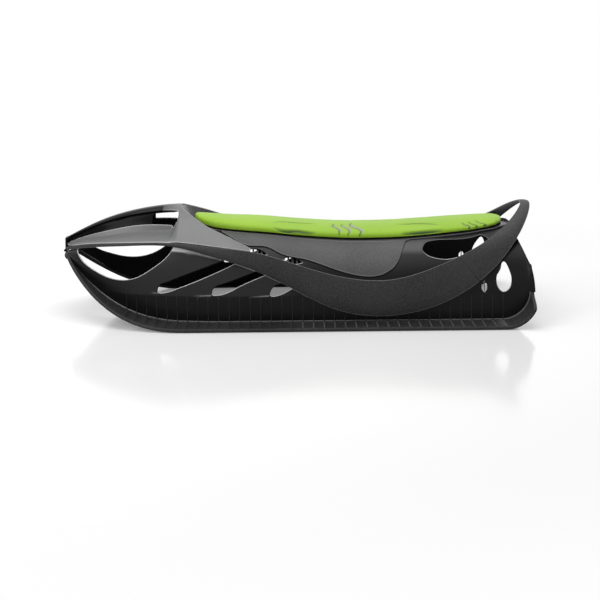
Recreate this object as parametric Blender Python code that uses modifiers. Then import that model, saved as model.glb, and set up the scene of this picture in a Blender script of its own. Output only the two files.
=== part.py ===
"""Plastic steering sled: an arched hull on two wide skis, a hood with hand slots, swept side bands and a seat pad.

Metres, +Z up. The nose points to -X, the rider's left is -Y, and the origin lies under the middle of the sled
on the floor. Shells are open surfaces over a grid of points, thickened by Solidify, in two mirrored halves.
"""

import math

import bmesh
import bpy
import numpy as np
from mathutils import Matrix

for old in list(bpy.data.objects):
    bpy.data.objects.remove(old, do_unlink=True)

# Overall size
NOSE_X = -0.600
SKI_HALF_WIDTH = 0.286
NOSE_RISE = 0.160
HOOD_REAR_X = -0.289
HOOD_END_X = -0.106
HOOD_ROW_POWER = 1.5

# Skis and the hull's foot in plan and in side view
BOW_LENGTH = 0.340
BOW_FULLNESS = 0.7
BOW_RISE_POWER = 2.5
SKI_THICKNESS = 0.0045
SKI_START_X = -0.592
SKI_INNER_LIP = 0.014
SKI_EDGE = 0.004
SKI_TIP_HALF = 0.0008
SKI_LIP_LOW = 0.0015
SKI_LIP_SIDE = 0.0045
SKI_LIP_TOP = 0.003
SKI_LIP_BEVEL = 0.001
FOOT_HALF_WIDTH = 0.213
FOOT_BOW_LENGTH = 0.450
FOOT_FULLNESS = 0.6
GLIDE_THICKNESS = 0.0042
GLIDE_WIDTH = 0.040
GLIDE_START_X = -0.340
GLIDE_END_Z = 0.012
TAIL_ARC_RADIUS = 0.078
TAIL_ARC_X = 0.503
TAIL_TURN = math.radians(84)
TAIL_TOP_HALF_WIDTH = 0.2205
TAIL_KICK_TOP_Z = 0.076
TAIL_WIDE_Z = 0.045
TAIL_BESIDE_Z = 0.074

# Hull shell: crown height and squareness of the arch along the sled
HULL_WALL = 0.003
HULL_START_X = -0.580
CROWN = [(-0.582, 0.1565), (-0.570, 0.1615), (-0.53, 0.177), (-0.48, 0.194), (-0.43, 0.209), (-0.36, 0.223),
         (-0.29, 0.231), (-0.25, 0.221), (-0.196, 0.2103), (-0.112, 0.2053), (0.014, 0.1966), (0.127, 0.191),
         (0.20, 0.191), (0.265, 0.1927), (0.365, 0.2007), (0.44, 0.2077), (0.483, 0.2122), (0.56, 0.2165)]
SQUARENESS = [(-0.6, 4.0), (-0.2, 4.0), (-0.1, 3.6), (0.0, 3.0), (0.15, 2.6), (0.6, 2.6)]
DECK_HALF_GAP = 0.045
DECK_BLEND_X = (-0.270, -0.205)
TAIL_X = 0.5827
TAIL_BOW = 1.65
TAIL_MID_Z = 0.058

# Openings of the hull's side walls, as (x, z) seen from the side
WINDOW = [(-0.556, 0.240), (-0.553, 0.165), (-0.537, 0.144), (-0.505, 0.124), (-0.465, 0.109), (-0.430, 0.105),
          (-0.390, 0.113), (-0.353, 0.134), (-0.325, 0.154), (-0.303, 0.176), (-0.290, 0.200), (-0.290, 0.240)]
SLOT_TIPS = [(-0.338, 0.081), (-0.201, 0.076), (-0.061, 0.073)]
SLOT_SHAPE = [(0.0, 0.0), (0.004, 0.012), (0.013, 0.020), (0.027, 0.0256), (0.0535, 0.0371), (0.093, 0.053),
              (0.1646, 0.0764), (0.190, 0.0765), (0.203, 0.0715), (0.145, 0.046), (0.084, 0.014), (0.046, 0.002)]
GRIP_SLOT = [(0.316, 0.171), (0.322, 0.180), (0.336, 0.185), (0.363, 0.188), (0.450, 0.1955), (0.474, 0.197),
             (0.483, 0.190), (0.477, 0.181), (0.431, 0.164), (0.393, 0.154), (0.368, 0.151), (0.343, 0.154),
             (0.324, 0.161)]
TEARDROP = [(0.511, 0.147), (0.497, 0.129), (0.490, 0.108), (0.494, 0.088), (0.507, 0.077), (0.520, 0.084),
            (0.527, 0.105), (0.522, 0.129)]
TAIL_LENS_AT = (0.4605, 0.0905)
TAIL_LENS_HALF = (0.0072, 0.0140)
TAIL_LENS_SHOULDER = (0.8, 0.55)
TAIL_LENS_BAR = 0.0024
WALL_REACH = (0.02, 0.30)
GRILLE_LENSES = [(-0.090, 0.1735), (-0.004, 0.1530)]
GRILLE_LENS_HALF = (0.025, 0.0072)
GRILLE_SLOPE = -0.18
GRILLE_PITCH = 0.0105
GRILLE_BAR = 0.0042
GRILLE_WALL = 0.002
GRILLE_MARGIN = 0.006

# Side band: upper and lower edge of the ribbon from the nose to the top of the rear loop, left side mirrored
BAND_TOP = [(-0.590, 0.016, 0.164), (-0.514, 0.090, 0.184), (-0.418, 0.140, 0.194), (-0.278, 0.180, 0.198),
            (-0.187, 0.200, 0.190), (-0.103, 0.215, 0.182), (0.007, 0.228, 0.152), (0.120, 0.234, 0.121),
            (0.236, 0.235, 0.115), (0.340, 0.221, 0.142), (0.440, 0.182, 0.181), (0.513, 0.125, 0.219),
            (0.559, 0.068, 0.254), (0.578, 0.0, 0.2695)]
BAND_BOTTOM = [(-0.590, 0.018, 0.157), (-0.514, 0.094, 0.176), (-0.418, 0.143, 0.187), (-0.285, 0.178, 0.188),
               (-0.200, 0.198, 0.168), (-0.120, 0.209, 0.1445), (-0.011, 0.223, 0.0955), (0.110, 0.234, 0.0395),
               (0.237, 0.236, 0.027), (0.354, 0.227, 0.053), (0.4655, 0.208, 0.1185), (0.534, 0.163, 0.184),
               (0.584, 0.085, 0.2475), (0.600, 0.0, 0.2695)]
BAND_WALL = 0.0035
BAND_BULGE = 0.004
BAND_SEAM = 0.775
BAND_SEAM_GAP = 0.0008
SPACERS = [(0.010, 0.112), (0.150, 0.075), (0.300, 0.080)]
SPACER_RADIUS = 0.008

# Hood cover: ridge line, ledge beside the hand recess and the swept rear rim in plan
COVER_WALL = 0.0025
COVER_START_X = -0.5865
RIDGE = [(-0.592, 0.1865), (-0.54, 0.213), (-0.483, 0.237), (-0.383, 0.2625), (-0.333, 0.269), (-0.289, 0.271),
         (-0.265, 0.271), (-0.215, 0.270), (-0.156, 0.2445), (-0.117, 0.229), (-0.095, 0.222)]
RIM = [(-0.289, 0.0), (-0.284, 0.034), (-0.265, 0.070), (-0.215, 0.128), (-0.156, 0.158), (-0.117, 0.186),
       (-0.098, 0.208)]
DOME_SQUARENESS = 1.63
LEDGE = [(-0.592, 0.0095, 0.1715), (-0.552, 0.022, 0.188), (-0.495, 0.038, 0.205), (-0.452, 0.047, 0.215),
         (-0.414, 0.053, 0.2223), (-0.361, 0.059, 0.2265), (-0.291, 0.064, 0.224)]
LEDGE_DROP = [(-0.592, 0.001), (-0.552, 0.005), (-0.495, 0.011), (-0.452, 0.0138), (-0.40, 0.016), (-0.34, 0.015),
              (-0.29, 0.009)]
LEDGE_FLARE = 0.45
ROOF_HALF = [(-0.592, 0.004), (-0.552, 0.012), (-0.489, 0.022), (-0.416, 0.029), (-0.364, 0.032), (-0.312, 0.035),
             (-0.300, 0.042), (-0.292, 0.052)]
ROOF_DROP = 0.29
LEDGE_WIDTH = 0.008
LEDGE_LIP = 0.003
STEP_LEAST = 0.0015
SHOULDER_POWER = 1.2
RECESS_X = (-0.579, -0.292)
RECESS_WALL = 0.0018
DOME_BLEND_X = (-0.312, -0.286)
HAND_SLOT_X = (-0.364, -0.292)
HAND_SLOT_ROWS = (-0.348, -0.330, -0.312, -0.300)
CREASE_INSET = 0.0045

# Panel behind the hood's rear rim
DASH_X = (-0.2885, -0.200)
DASH_ROW_POWER = 1.8
DASH_TOP_SHARE = 0.97
DASH_FOOT_SHARE = 0.86
DASH_TOP_GAP = 0.002
DASH_FOOT_GAP = 0.0035
DASH_LEAST_HEIGHT = 0.004
DASH_LEAN = 0.016
DASH_LEAN_X = (-0.290, -0.210)
DASH_WALL = 0.002

# Cap at the nose, its side view measured back from the nose
BUMPER_OUTLINE = [(0.0055, 0.1495), (0.0015, 0.1505), (0.0, 0.153), (0.0015, 0.1555), (0.0045, 0.158),
                  (0.0055, 0.1845), (0.0085, 0.188), (0.0125, 0.188), (0.0125, 0.172), (0.0075, 0.170),
                  (0.0075, 0.1495)]
BUMPER_HALF = 0.012

# Seat
TRAY_WALL = 0.0035
PLAN_ROUND_SHARE = 0.55
TRAY_PLAN = [(-0.262, 0.0), (-0.252, 0.034), (-0.196, 0.068), (-0.112, 0.089), (0.0, 0.094), (0.365, 0.094),
             (0.44, 0.091), (0.50, 0.080), (0.535, 0.055), (0.552, 0.0)]
PAD_PLAN = [(-0.257, 0.0), (-0.247, 0.030), (-0.196, 0.060), (-0.112, 0.080), (0.0, 0.086), (0.365, 0.086),
            (0.44, 0.084), (0.483, 0.077), (0.505, 0.066), (0.522, 0.044), (0.530, 0.0)]
PAD_THICKNESS = 0.020
PAD_CROWN = 0.003
PAD_TIP = 0.001
PAD_TIP_SHARE = 0.25
PAD_TOP_SHARES = (1.0, 0.97, 0.85, 0.67, 0.5, 0.33, 0.15, 0.0)
PAD_BASE_SHARES = (0.0, 0.45, 0.85)
PAD_ROLL_FROM = 0.86
PAD_ROLL_DROP = 0.30
PAD_SIDE_LEVELS = (0.05, 0.45)
PAD_END_WIDTH = 0.06
PAD_SIDE_IN = 0.004
PAD_CHANNEL = 0.0025
PAD_CHANNEL_AT = 0.50
PAD_CHANNEL_HALF = 0.11
PAD_CHANNEL_X = [(-0.085, 0.065), (0.225, 0.365)]
SKIRT_WALL = 0.0022
SKIRT_X = (-0.182, 0.205, 0.286)
SKIRT_TRAY_GAP = 0.002
SKIRT_LEAST_TURN = 0.004
SKIRT_EDGE = [(-0.190, 0.2095), (-0.157, 0.201), (-0.118, 0.187), (-0.065, 0.181), (-0.030, 0.166),
              (0.019, 0.155), (0.094, 0.132), (0.135, 0.120), (0.171, 0.114), (0.205, 0.1155), (0.235, 0.128),
              (0.256, 0.150), (0.268, 0.172), (0.290, 0.190)]
RIB_X = [-0.150, 0.070, 0.285]
RIB_REACH = 0.117
RIB_DEPTH = 0.022
RIB_THICKNESS = 0.003
RIB_SLACK = 0.0006

# Fasteners
SCREW_HEAD_RADIUS = 0.0045
SCREW_HEAD_HEIGHT = 0.0026
SCREW_SIDES = 12
TRAY_SCREW_X = [-0.120, 0.060, 0.260, 0.460]
TRAY_SCREW_Y = 0.062
BOSS_X = [-0.120, 0.080, 0.280, 0.480]
BOSS_SIZE = (0.016, 0.010, 0.016)
BOSS_SLACK = 0.0016
RAIL_HEIGHT = 0.004
PAD_STUD_X = [-0.100, 0.060, 0.220, 0.440]
PAD_STUD_RADIUS = 0.006
PAD_STUD_LENGTH = 0.006
SPACER_SIDES = 16
SPACER_SLACK = 0.0020
LOOP_PLATE_HALF = 0.020
LOOP_PLATE_WALL = 0.0025
EYE_RADIUS = 0.009
EYE_WIRE = 0.0028
EYE_BACK = 0.012
EYE_Z = 0.1385

# Clearances
GAP = 0.0003
LAYER_GAP = 0.0005
CHORD_SLACK = 0.0012
WALL_SLACK = 0.0015
RECESS_SETBACK = 0.0032
ROW_SLACK = 0.001

# Division of the hull and of the surfaces
HULL_PARTS = ("bow", "middle", "tail")
HULL_SEAMS = (-0.300, 0.200)
HULL_SEAM_GAP = 0.0008
HULL_ROWS = (12, 20, 15)
HULL_COLUMNS = 10
HULL_FIRST_TURN = 0.04
BAND_ROWS = 38

LEFT = -1
RIGHT = 1
SIDES = ((LEFT, "left"), (RIGHT, "right"))


def spline(stations):
    """Natural cubic curve through (x, value...) stations, held constant outside them."""
    table = np.array(stations, float)
    at, values = table[:, 0], table[:, 1:]
    count, step = len(at), np.diff(at)
    system, right = np.eye(count), np.zeros_like(values)
    for i in range(1, count - 1):
        system[i, i - 1:i + 2] = step[i - 1], 2 * (step[i - 1] + step[i]), step[i]
        right[i] = 6 * ((values[i + 1] - values[i]) / step[i] - (values[i] - values[i - 1]) / step[i - 1])
    bend = np.linalg.solve(system, right)

    def value(x):
        x = np.clip(np.asarray(x, float), at[0], at[-1])
        i = np.clip(np.searchsorted(at, x) - 1, 0, count - 2)
        width = step[i][..., None]
        after = x[..., None] - at[i][..., None]
        before = width - after
        out = (before ** 3 * bend[i] + after ** 3 * bend[i + 1]) / (6 * width)
        out = out + before * (values[i] / width - bend[i] * width / 6)
        out = out + after * (values[i + 1] / width - bend[i + 1] * width / 6)
        return out[..., 0] if out.shape[-1] == 1 else out

    return value


def straight(stations):
    """Straight lines through (x, value) stations."""
    at, values = zip(*stations)
    return lambda x: np.interp(x, at, values)


def rounded(stations):
    """Plan half width through (x, half width) stations, round where it closes: its square is interpolated."""
    at, values = zip(*stations)
    squares = np.square(values)
    return lambda x: np.sqrt(np.interp(x, at, squares))


def smoothstep(x, start, end):
    t = np.clip((x - start) / (end - start), 0.0, 1.0)
    return t * t * (3 - 2 * t)


def bow_plan(x, half_width, length, fullness):
    """Half width of the bow in plan: zero at the nose, growing as (u(2-u)) to a power until it is full."""
    u = np.clip((x - NOSE_X) / length, 1e-6, 1.0)
    return half_width * (u * (2 - u)) ** fullness


def sole_height(x):
    """Underside of a ski: a rising power curve at the bow, then flat on the floor."""
    u = np.clip((x - NOSE_X) / BOW_LENGTH, 0.0, 1.0)
    return NOSE_RISE * (1 - u) ** BOW_RISE_POWER


def sole_slope(x):
    u = np.clip((x - NOSE_X) / BOW_LENGTH, 0.0, 1.0)
    return -BOW_RISE_POWER * NOSE_RISE / BOW_LENGTH * (1 - u) ** (BOW_RISE_POWER - 1)


SKI_TOP = GLIDE_THICKNESS + GAP + SKI_THICKNESS
FOOT_RADIUS = TAIL_ARC_RADIUS - SKI_TOP - GAP
FOOT_END_X = TAIL_ARC_X + FOOT_RADIUS * math.sin(TAIL_TURN)


def foot_height(x):
    """Foot of the hull wall: it stands on the ski's top face, up the bow and round the tail's arc."""
    bow = sole_height(x) + (SKI_TOP + GAP) * np.sqrt(1 + sole_slope(x) ** 2)
    along = np.clip(x - TAIL_ARC_X, 0.0, FOOT_RADIUS)
    return bow + FOOT_RADIUS - np.sqrt(FOOT_RADIUS ** 2 - along ** 2)


def foot_half(x):
    return bow_plan(x, FOOT_HALF_WIDTH, FOOT_BOW_LENGTH, FOOT_FULLNESS)


crown = spline(CROWN)
squareness = straight(SQUARENESS)


def arch(x, turn):
    """Hull section at x: a superellipse from the foot (turn 0) to the crown (turn 1), as (half width, height)."""
    power = 2 / squareness(x)
    angle = np.clip(turn, 0.0, 1.0) * math.pi / 2
    foot = foot_height(x)
    return foot_half(x) * np.cos(angle) ** power, foot + (crown(x) - foot) * np.sin(angle) ** power


def turn_at_width(x, half_width):
    share = np.clip(half_width / foot_half(x), 0.0, 1.0)
    return np.arccos(share ** (squareness(x) / 2)) * 2 / math.pi


def turn_at_height(x, height):
    foot = foot_height(x)
    share = np.clip((height - foot) / (crown(x) - foot), 0.0, 1.0)
    return np.arcsin(share ** (squareness(x) / 2)) * 2 / math.pi


def tail_edge(z):
    return TAIL_X - TAIL_BOW * (z - TAIL_MID_Z) ** 2


def points(x, y, z):
    return np.stack(np.broadcast_arrays(x, y, z), axis=-1)


def normals(grid):
    """Unit normals of a grid whose rows run to +X and whose columns run up the left side."""
    cross = np.cross(np.gradient(grid, axis=0), np.gradient(grid, axis=1))
    return cross / np.maximum(np.linalg.norm(cross, axis=-1, keepdims=True), 1e-9)


def offset(grid, distance):
    return grid + distance * normals(grid)


def arch_grid(rows, turns):
    """Left side of the hull's outer surface over rows of x and turns of the section."""
    y, z = arch(rows, turns)
    return points(rows, -y, z)


def track(stations):
    """Smooth curve in space through stations, by the share of its chord length, square to the middle plane."""
    table = np.array(stations, float)
    table = np.vstack([table, table[-2] * (1, -1, 1)])
    along = np.concatenate([[0.0], np.cumsum(np.linalg.norm(np.diff(table, axis=0), axis=1))])
    along /= along[-2]
    return spline(np.column_stack([along, table]))


band_top = track(BAND_TOP)
band_bottom = track(BAND_BOTTOM)
CREASE_SAMPLES = band_top(np.linspace(0.0, 0.6, 400))


def crease(x):
    """Where the hood cover turns down into the side band, as (half width, height)."""
    return (np.interp(x, CREASE_SAMPLES[:, 0], CREASE_SAMPLES[:, 1]),
            np.interp(x, CREASE_SAMPLES[:, 0], CREASE_SAMPLES[:, 2]))


# Building blocks

sled = bpy.data.collections.new("Steering_sled")
cutters = bpy.data.collections.new("Cutters")


def material(name, colour, roughness, metallic=0.0):
    made = bpy.data.materials.new(name)
    made.use_nodes = True
    shader = made.node_tree.nodes["Principled BSDF"]
    shader.inputs["Base Color"].default_value = (*colour, 1.0)
    shader.inputs["Roughness"].default_value = roughness
    shader.inputs["Metallic"].default_value = metallic
    return made


def place(name, mesh, finish, collection=None):
    made = bpy.data.objects.new(name, mesh)
    (collection or sled).objects.link(made)
    if finish:
        mesh.materials.append(finish)
    return made


def mesh_from(name, build):
    """Mesh filled by build(bm), with doubles merged."""
    bm = bmesh.new()
    build(bm)
    bmesh.ops.remove_doubles(bm, verts=bm.verts, dist=1e-6)
    mesh = bpy.data.meshes.new(name)
    bm.to_mesh(mesh)
    bm.free()
    return mesh


def grid_mesh(name, grid, keep=None, side=LEFT):
    """Open surface over a grid of the left side, or its mirror image for the right."""
    rows, columns = grid.shape[:2]
    spots = grid.copy()
    if side == RIGHT:
        spots[..., 1] *= -1

    def build(bm):
        verts = [[bm.verts.new(spots[i, j]) for j in range(columns)] for i in range(rows)]
        for i in range(rows - 1):
            for j in range(columns - 1):
                if keep is not None and not keep[i, j]:
                    continue
                corners = [verts[i][j], verts[i + 1][j], verts[i + 1][j + 1], verts[i][j + 1]]
                bm.faces.new(corners if side == LEFT else corners[::-1])
        bmesh.ops.delete(bm, geom=[v for v in bm.verts if not v.link_faces], context="VERTS")

    return mesh_from(name, build)


def thicken(made, wall):
    """Wall thickness towards the inside of an open surface."""
    solid = made.modifiers.new("wall", "SOLIDIFY")
    solid.thickness = wall
    solid.offset = -1.0
    return made


def mirror(made):
    halves = made.modifiers.new("halves", "MIRROR")
    halves.use_axis = (False, True, False)
    halves.use_clip = True
    halves.merge_threshold = 0.0001
    return made


def cut(made, cutter):
    hole = made.modifiers.new("cut", "BOOLEAN")
    hole.operation = "DIFFERENCE"
    hole.object = cutter
    return made


def shell(name, grid, wall, finish, side=LEFT, keep=None):
    return thicken(place(name, grid_mesh(name, grid, keep, side), finish), wall)


def extruded(name, outline, shift):
    """Mesh of a closed outline of points in space carried along the vector shift."""
    def build(bm):
        face = bm.faces.new([bm.verts.new(spot) for spot in outline])
        grown = bmesh.ops.extrude_face_region(bm, geom=[face])
        moved = [v for v in grown["geom"] if isinstance(v, bmesh.types.BMVert)]
        bmesh.ops.translate(bm, verts=moved, vec=shift)
        bmesh.ops.recalc_face_normals(bm, faces=bm.faces)

    return mesh_from(name, build)


def side_prism(name, outline, inner, outer):
    """Mesh of an (x, z) outline carried along Y between two positions."""
    return extruded(name, [(x, inner, z) for x, z in outline], (0, outer - inner, 0))


def prism(name, outline, inner, outer):
    """Cutter through one side wall."""
    made = place(name, side_prism(name, outline, inner, outer), None, cutters)
    made.hide_render = True
    made.display_type = "WIRE"
    return made


def lens(centre, half_length, half_height, slope=0.0, steps=7):
    """Pointed lens outline of two arcs, its long axis rising by slope."""
    share = np.linspace(-1.0, 1.0, steps)
    x = centre[0] + half_length * share
    rise = half_height * (1 - share ** 2)
    middle = centre[1] + slope * half_length * share
    return list(zip(x, middle + rise)) + list(zip(x[-2:0:-1], (middle - rise)[-2:0:-1]))


def disc(name, centre, radius, height, finish, axis="Z", sides=SCREW_SIDES):
    """Plain round disc about its centre, its axis upright or across the sled."""
    def build(bm):
        made = bmesh.ops.create_cone(bm, cap_ends=True, segments=sides, radius1=radius, radius2=radius,
                                     depth=height)["verts"]
        if axis == "Y":
            bmesh.ops.rotate(bm, verts=made, cent=(0, 0, 0), matrix=Matrix.Rotation(math.pi / 2, 3, "X"))
        bmesh.ops.translate(bm, verts=made, vec=centre)

    return place(name, mesh_from(name, build), finish)


def loft(name, rings, finish, side=LEFT):
    """Closed body through equal rings of points, with flat ends."""
    spots = np.array(rings, float)
    if side == RIGHT:
        spots[..., 1] *= -1
    count, around = spots.shape[:2]

    def build(bm):
        verts = [[bm.verts.new(p) for p in ring] for ring in spots]
        for i in range(count - 1):
            for j in range(around):
                k = (j + 1) % around
                bm.faces.new([verts[i][j], verts[i + 1][j], verts[i + 1][k], verts[i][k]])
        bm.faces.new(verts[0])
        bm.faces.new(verts[-1][::-1])
        bmesh.ops.recalc_face_normals(bm, faces=bm.faces)

    return place(name, mesh_from(name, build), finish)


# Pieces


def hull_outlines():
    """Outlines of every opening in a side wall, by name."""
    outlines = {"window": WINDOW, "grip": GRIP_SLOT, "teardrop": TEARDROP}
    for number, (x, z) in enumerate(SLOT_TIPS, 1):
        outlines["slot_%d" % number] = [(x + dx, z + dz) for dx, dz in SLOT_SHAPE]
    for number, centre in enumerate(GRILLE_LENSES, 1):
        outlines["grille_%d" % number] = lens(centre, *GRILLE_LENS_HALF, GRILLE_SLOPE)
    x, z = TAIL_LENS_AT
    half_x, half_z = TAIL_LENS_HALF
    for number, sign in enumerate((-1, 1), 1):
        bar = x + sign * TAIL_LENS_BAR / 2
        shoulder = x + sign * half_x * TAIL_LENS_SHOULDER[0]
        rise = half_z * TAIL_LENS_SHOULDER[1]
        outlines["tail_lens_%d" % number] = [(bar, z + half_z), (shoulder, z + rise), (x + sign * half_x, z),
                                             (shoulder, z - rise), (bar, z - half_z)]
    return outlines


def hull_half(side, tag, finish):
    """Side wall and half deck in three shells end to end, open at the bow window, the diagonal slots and the tail."""
    turns = np.concatenate([[0.0], np.linspace(HULL_FIRST_TURN, 1.0, HULL_COLUMNS - 1)])
    end_z = arch(FOOT_END_X, turns * turn_at_width(FOOT_END_X, DECK_HALF_GAP))[1]
    end_x = FOOT_END_X + (tail_edge(end_z) - FOOT_END_X) * smoothstep(turns, 0.0, HULL_FIRST_TURN)
    starts = [HULL_START_X] + [seam + HULL_SEAM_GAP / 2 for seam in HULL_SEAMS]
    ends = [seam - HULL_SEAM_GAP / 2 for seam in HULL_SEAMS] + [end_x]
    reach = side * WALL_REACH[0], side * WALL_REACH[1]
    cutters_here = [(outline, prism("%s_%s_cutter" % (label, tag), outline, *reach))
                    for label, outline in hull_outlines().items()]
    for part, count, start, end in zip(HULL_PARTS, HULL_ROWS, starts, ends):
        rows = start + np.linspace(0.0, 1.0, count)[:, None] * (end - start)
        tuck = crease(rows)[0] - CREASE_INSET - WALL_SLACK
        deck = smoothstep(rows, *DECK_BLEND_X)
        top_half = tuck * (1 - deck) + DECK_HALF_GAP * deck
        grid = arch_grid(rows, turns * turn_at_width(rows, top_half))
        made = shell("hull_%s_%s" % (part, tag), grid, HULL_WALL, finish, side)
        for outline, cutter in cutters_here:
            along = [x for x, _ in outline]
            if max(along) > rows.min() and min(along) < rows.max():
                cut(made, cutter)


def ski_path():
    """Sole line of a ski: x, z and the unit normal in the side view, with the share round the tail."""
    bow = np.linspace(SKI_START_X, NOSE_X + BOW_LENGTH, 16)[:-1]
    flat = np.linspace(NOSE_X + BOW_LENGTH, TAIL_ARC_X, 8)[:-1]
    turn = np.linspace(0.0, TAIL_TURN, 12)
    x = np.concatenate([bow, flat, TAIL_ARC_X + TAIL_ARC_RADIUS * np.sin(turn)])
    z = np.concatenate([sole_height(bow), sole_height(flat), TAIL_ARC_RADIUS * (1 - np.cos(turn))])
    angle = np.concatenate([np.arctan(sole_slope(bow)), np.zeros(len(flat)), turn])
    lean = (TAIL_KICK_TOP_Z - z[-1]) / math.tan(TAIL_TURN)
    x, z, angle = np.append(x, x[-1] + lean), np.append(z, TAIL_KICK_TOP_Z), np.append(angle, angle[-1])
    return x, z, -np.sin(angle), np.cos(angle)


def ski_widths(x, z):
    outer = bow_plan(x, SKI_HALF_WIDTH, BOW_LENGTH, BOW_FULLNESS)
    taper = np.where(x > TAIL_ARC_X, smoothstep(z, TAIL_WIDE_Z, TAIL_KICK_TOP_Z), 0.0)
    outer = outer + (TAIL_TOP_HALF_WIDTH - outer) * taper
    inner = np.maximum(foot_half(x) - SKI_INNER_LIP, SKI_TIP_HALF)
    beside = np.where(x > TAIL_ARC_X, smoothstep(z, TAIL_WIDE_Z, TAIL_BESIDE_Z), 0.0)
    return inner + (FOOT_HALF_WIDTH + WALL_SLACK - inner) * beside, outer


def ski(side, tag, finish):
    """Wide flat runner with an edge lip, swept up to the nose and kicked up at the tail."""
    low, top = GLIDE_THICKNESS + GAP, SKI_TOP
    rings = []
    for x, z, nx, nz in zip(*ski_path()):
        inner, outer = ski_widths(x, z)
        section = [(inner, low), (outer - SKI_EDGE, low), (outer - SKI_EDGE + LAYER_GAP, SKI_LIP_LOW),
                   (outer - SKI_LIP_BEVEL, SKI_LIP_LOW), (outer, SKI_LIP_SIDE), (outer - SKI_LIP_TOP, top),
                   (inner, top)]
        rings.append([(x + nx * d, -y, z + nz * d) for y, d in section])
    return loft("ski_" + tag, rings, finish, side)


def glide_strip(side, tag, finish):
    """Smooth strip under the ski, the face that touches the snow."""
    rings = []
    for x, z, nx, nz in zip(*ski_path()):
        if x < GLIDE_START_X or (x > TAIL_ARC_X and z > GLIDE_END_Z):
            continue
        outer = ski_widths(x, z)[1] - SKI_EDGE - GAP
        inner = outer - GLIDE_WIDTH
        rings.append([(x + nx * d, -y, z + nz * d) for y, d in
                      [(inner, 0.0), (outer, 0.0), (outer, GLIDE_THICKNESS), (inner, GLIDE_THICKNESS)]])
    return loft("glide_strip_" + tag, rings, finish, side)


def band_grid(start, end, rows, columns=5):
    """Ribbon between the two edge tracks, bowed outward across its width, left side."""
    share = np.linspace(start, end, rows)[:, None, None]
    across = np.linspace(0.0, 1.0, columns)[None, :, None]
    lower, upper = band_bottom(share[:, :, 0]), band_top(share[:, :, 0])
    grid = lower * (1 - across) + upper * across
    grid[..., 1] *= -1
    width = np.linalg.norm(upper - lower, axis=-1, keepdims=True)
    bulge = BAND_BULGE * np.minimum(width / 0.05, 1.0) * 4 * across * (1 - across)
    return grid + bulge * normals(grid)


def side_band(side, tag, finish):
    return shell("side_band_" + tag, band_grid(0.0, BAND_SEAM, BAND_ROWS), BAND_WALL, finish, side)


def rear_loop(finish):
    """The two bands' rear ends in one hoop, the grab handle behind the seat."""
    grid = band_grid(BAND_SEAM + BAND_SEAM_GAP, 1.0, 16)
    grid[-1, :, 1] = 0.0
    made = place("rear_loop", grid_mesh("rear_loop", grid), finish)
    return thicken(mirror(made), BAND_WALL)


def loop_plate(side, tag, finish):
    """Joint plate behind the seam of band and loop."""
    grid = band_grid(BAND_SEAM - LOOP_PLATE_HALF, BAND_SEAM + LOOP_PLATE_HALF, 4)[:, 1:-1]
    return shell("loop_plate_" + tag, offset(grid, -BAND_WALL - LAYER_GAP), LOOP_PLATE_WALL, finish, side)


ridge = spline(RIDGE)
ledge = spline(LEDGE)
ledge_drop = straight(LEDGE_DROP)
roof_half = straight(ROOF_HALF)
rim = rounded(RIM)


def hood_height(x, y):
    """Hood surface over (x, half width): a narrow roof above a ledge in front, one dome at the rear."""
    side_y, side_z = crease(x)
    top = ridge(x)
    dome = side_z + (top - side_z) * (1 - np.clip(y / side_y, 0, 1) ** DOME_SQUARENESS)
    ledge_y, ledge_z = np.moveaxis(ledge(x), -1, 0)
    roof_y = roof_half(x)
    step_y = np.maximum(ledge_y - LEDGE_WIDTH, roof_y + STEP_LEAST)
    roof_z = top - ROOF_DROP * roof_y * np.clip(y / roof_y, 0, 1) ** 2
    drop = smoothstep(y, roof_y, step_y)
    low_z = ledge_z - LEDGE_LIP
    inside = roof_z + (low_z - roof_z) * drop + LEDGE_LIP * smoothstep(y, step_y, ledge_y)
    drop_z = ledge_drop(x)
    shoulder_y, shoulder_z = ledge_y + LEDGE_FLARE * drop_z, ledge_z - drop_z
    face = ledge_z - drop_z * np.clip((y - ledge_y) / (shoulder_y - ledge_y), 0, 1)
    out = np.clip((y - shoulder_y) / (side_y - shoulder_y), 0, 1)
    front = np.where(y < ledge_y, inside, face + (side_z - shoulder_z) * out ** SHOULDER_POWER)
    return front + (dome - front) * smoothstep(x, *DOME_BLEND_X)


def hood_columns(x):
    """Half widths of the hood's grid columns at x, from the crease inward to the middle or to the rim."""
    side_y = crease(x)[0] - CREASE_INSET
    ledge_y = ledge(x)[0]
    shoulder_y = ledge_y + LEDGE_FLARE * ledge_drop(x)
    roof_y = roof_half(x)
    step_y = max(ledge_y - LEDGE_WIDTH, roof_y + STEP_LEAST)
    shoulder = side_y + (shoulder_y - side_y) * np.array([0.0, 0.33, 0.67, 1.0])
    step = step_y + (roof_y - step_y) * np.array([0.0, 0.4, 0.7, 1.0])
    front = np.concatenate([shoulder, [ledge_y], step, [roof_y / 2, 0.0]])
    inner = rim(x) if x > HOOD_REAR_X else 0.0
    behind = side_y + (inner - side_y) * np.linspace(0.0, 1.0, len(front))
    blend = smoothstep(x, *DOME_BLEND_X)
    return front + (behind - front) * blend


LEDGE_COLUMN = 4
ROOF_COLUMN = 8


def hood_grid():
    front = np.linspace(RECESS_X[0], HAND_SLOT_X[0], 15)
    slot = np.append(HAND_SLOT_ROWS, HAND_SLOT_X[1])
    behind = HOOD_REAR_X + (HOOD_END_X - HOOD_REAR_X) * np.linspace(0.0, 1.0, 11) ** HOOD_ROW_POWER
    rows = np.concatenate([[COVER_START_X], front, slot, behind])
    y = np.array([hood_columns(x) for x in rows])
    x = rows[:, None]
    return points(x, -y, hood_height(x, y)), rows


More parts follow.
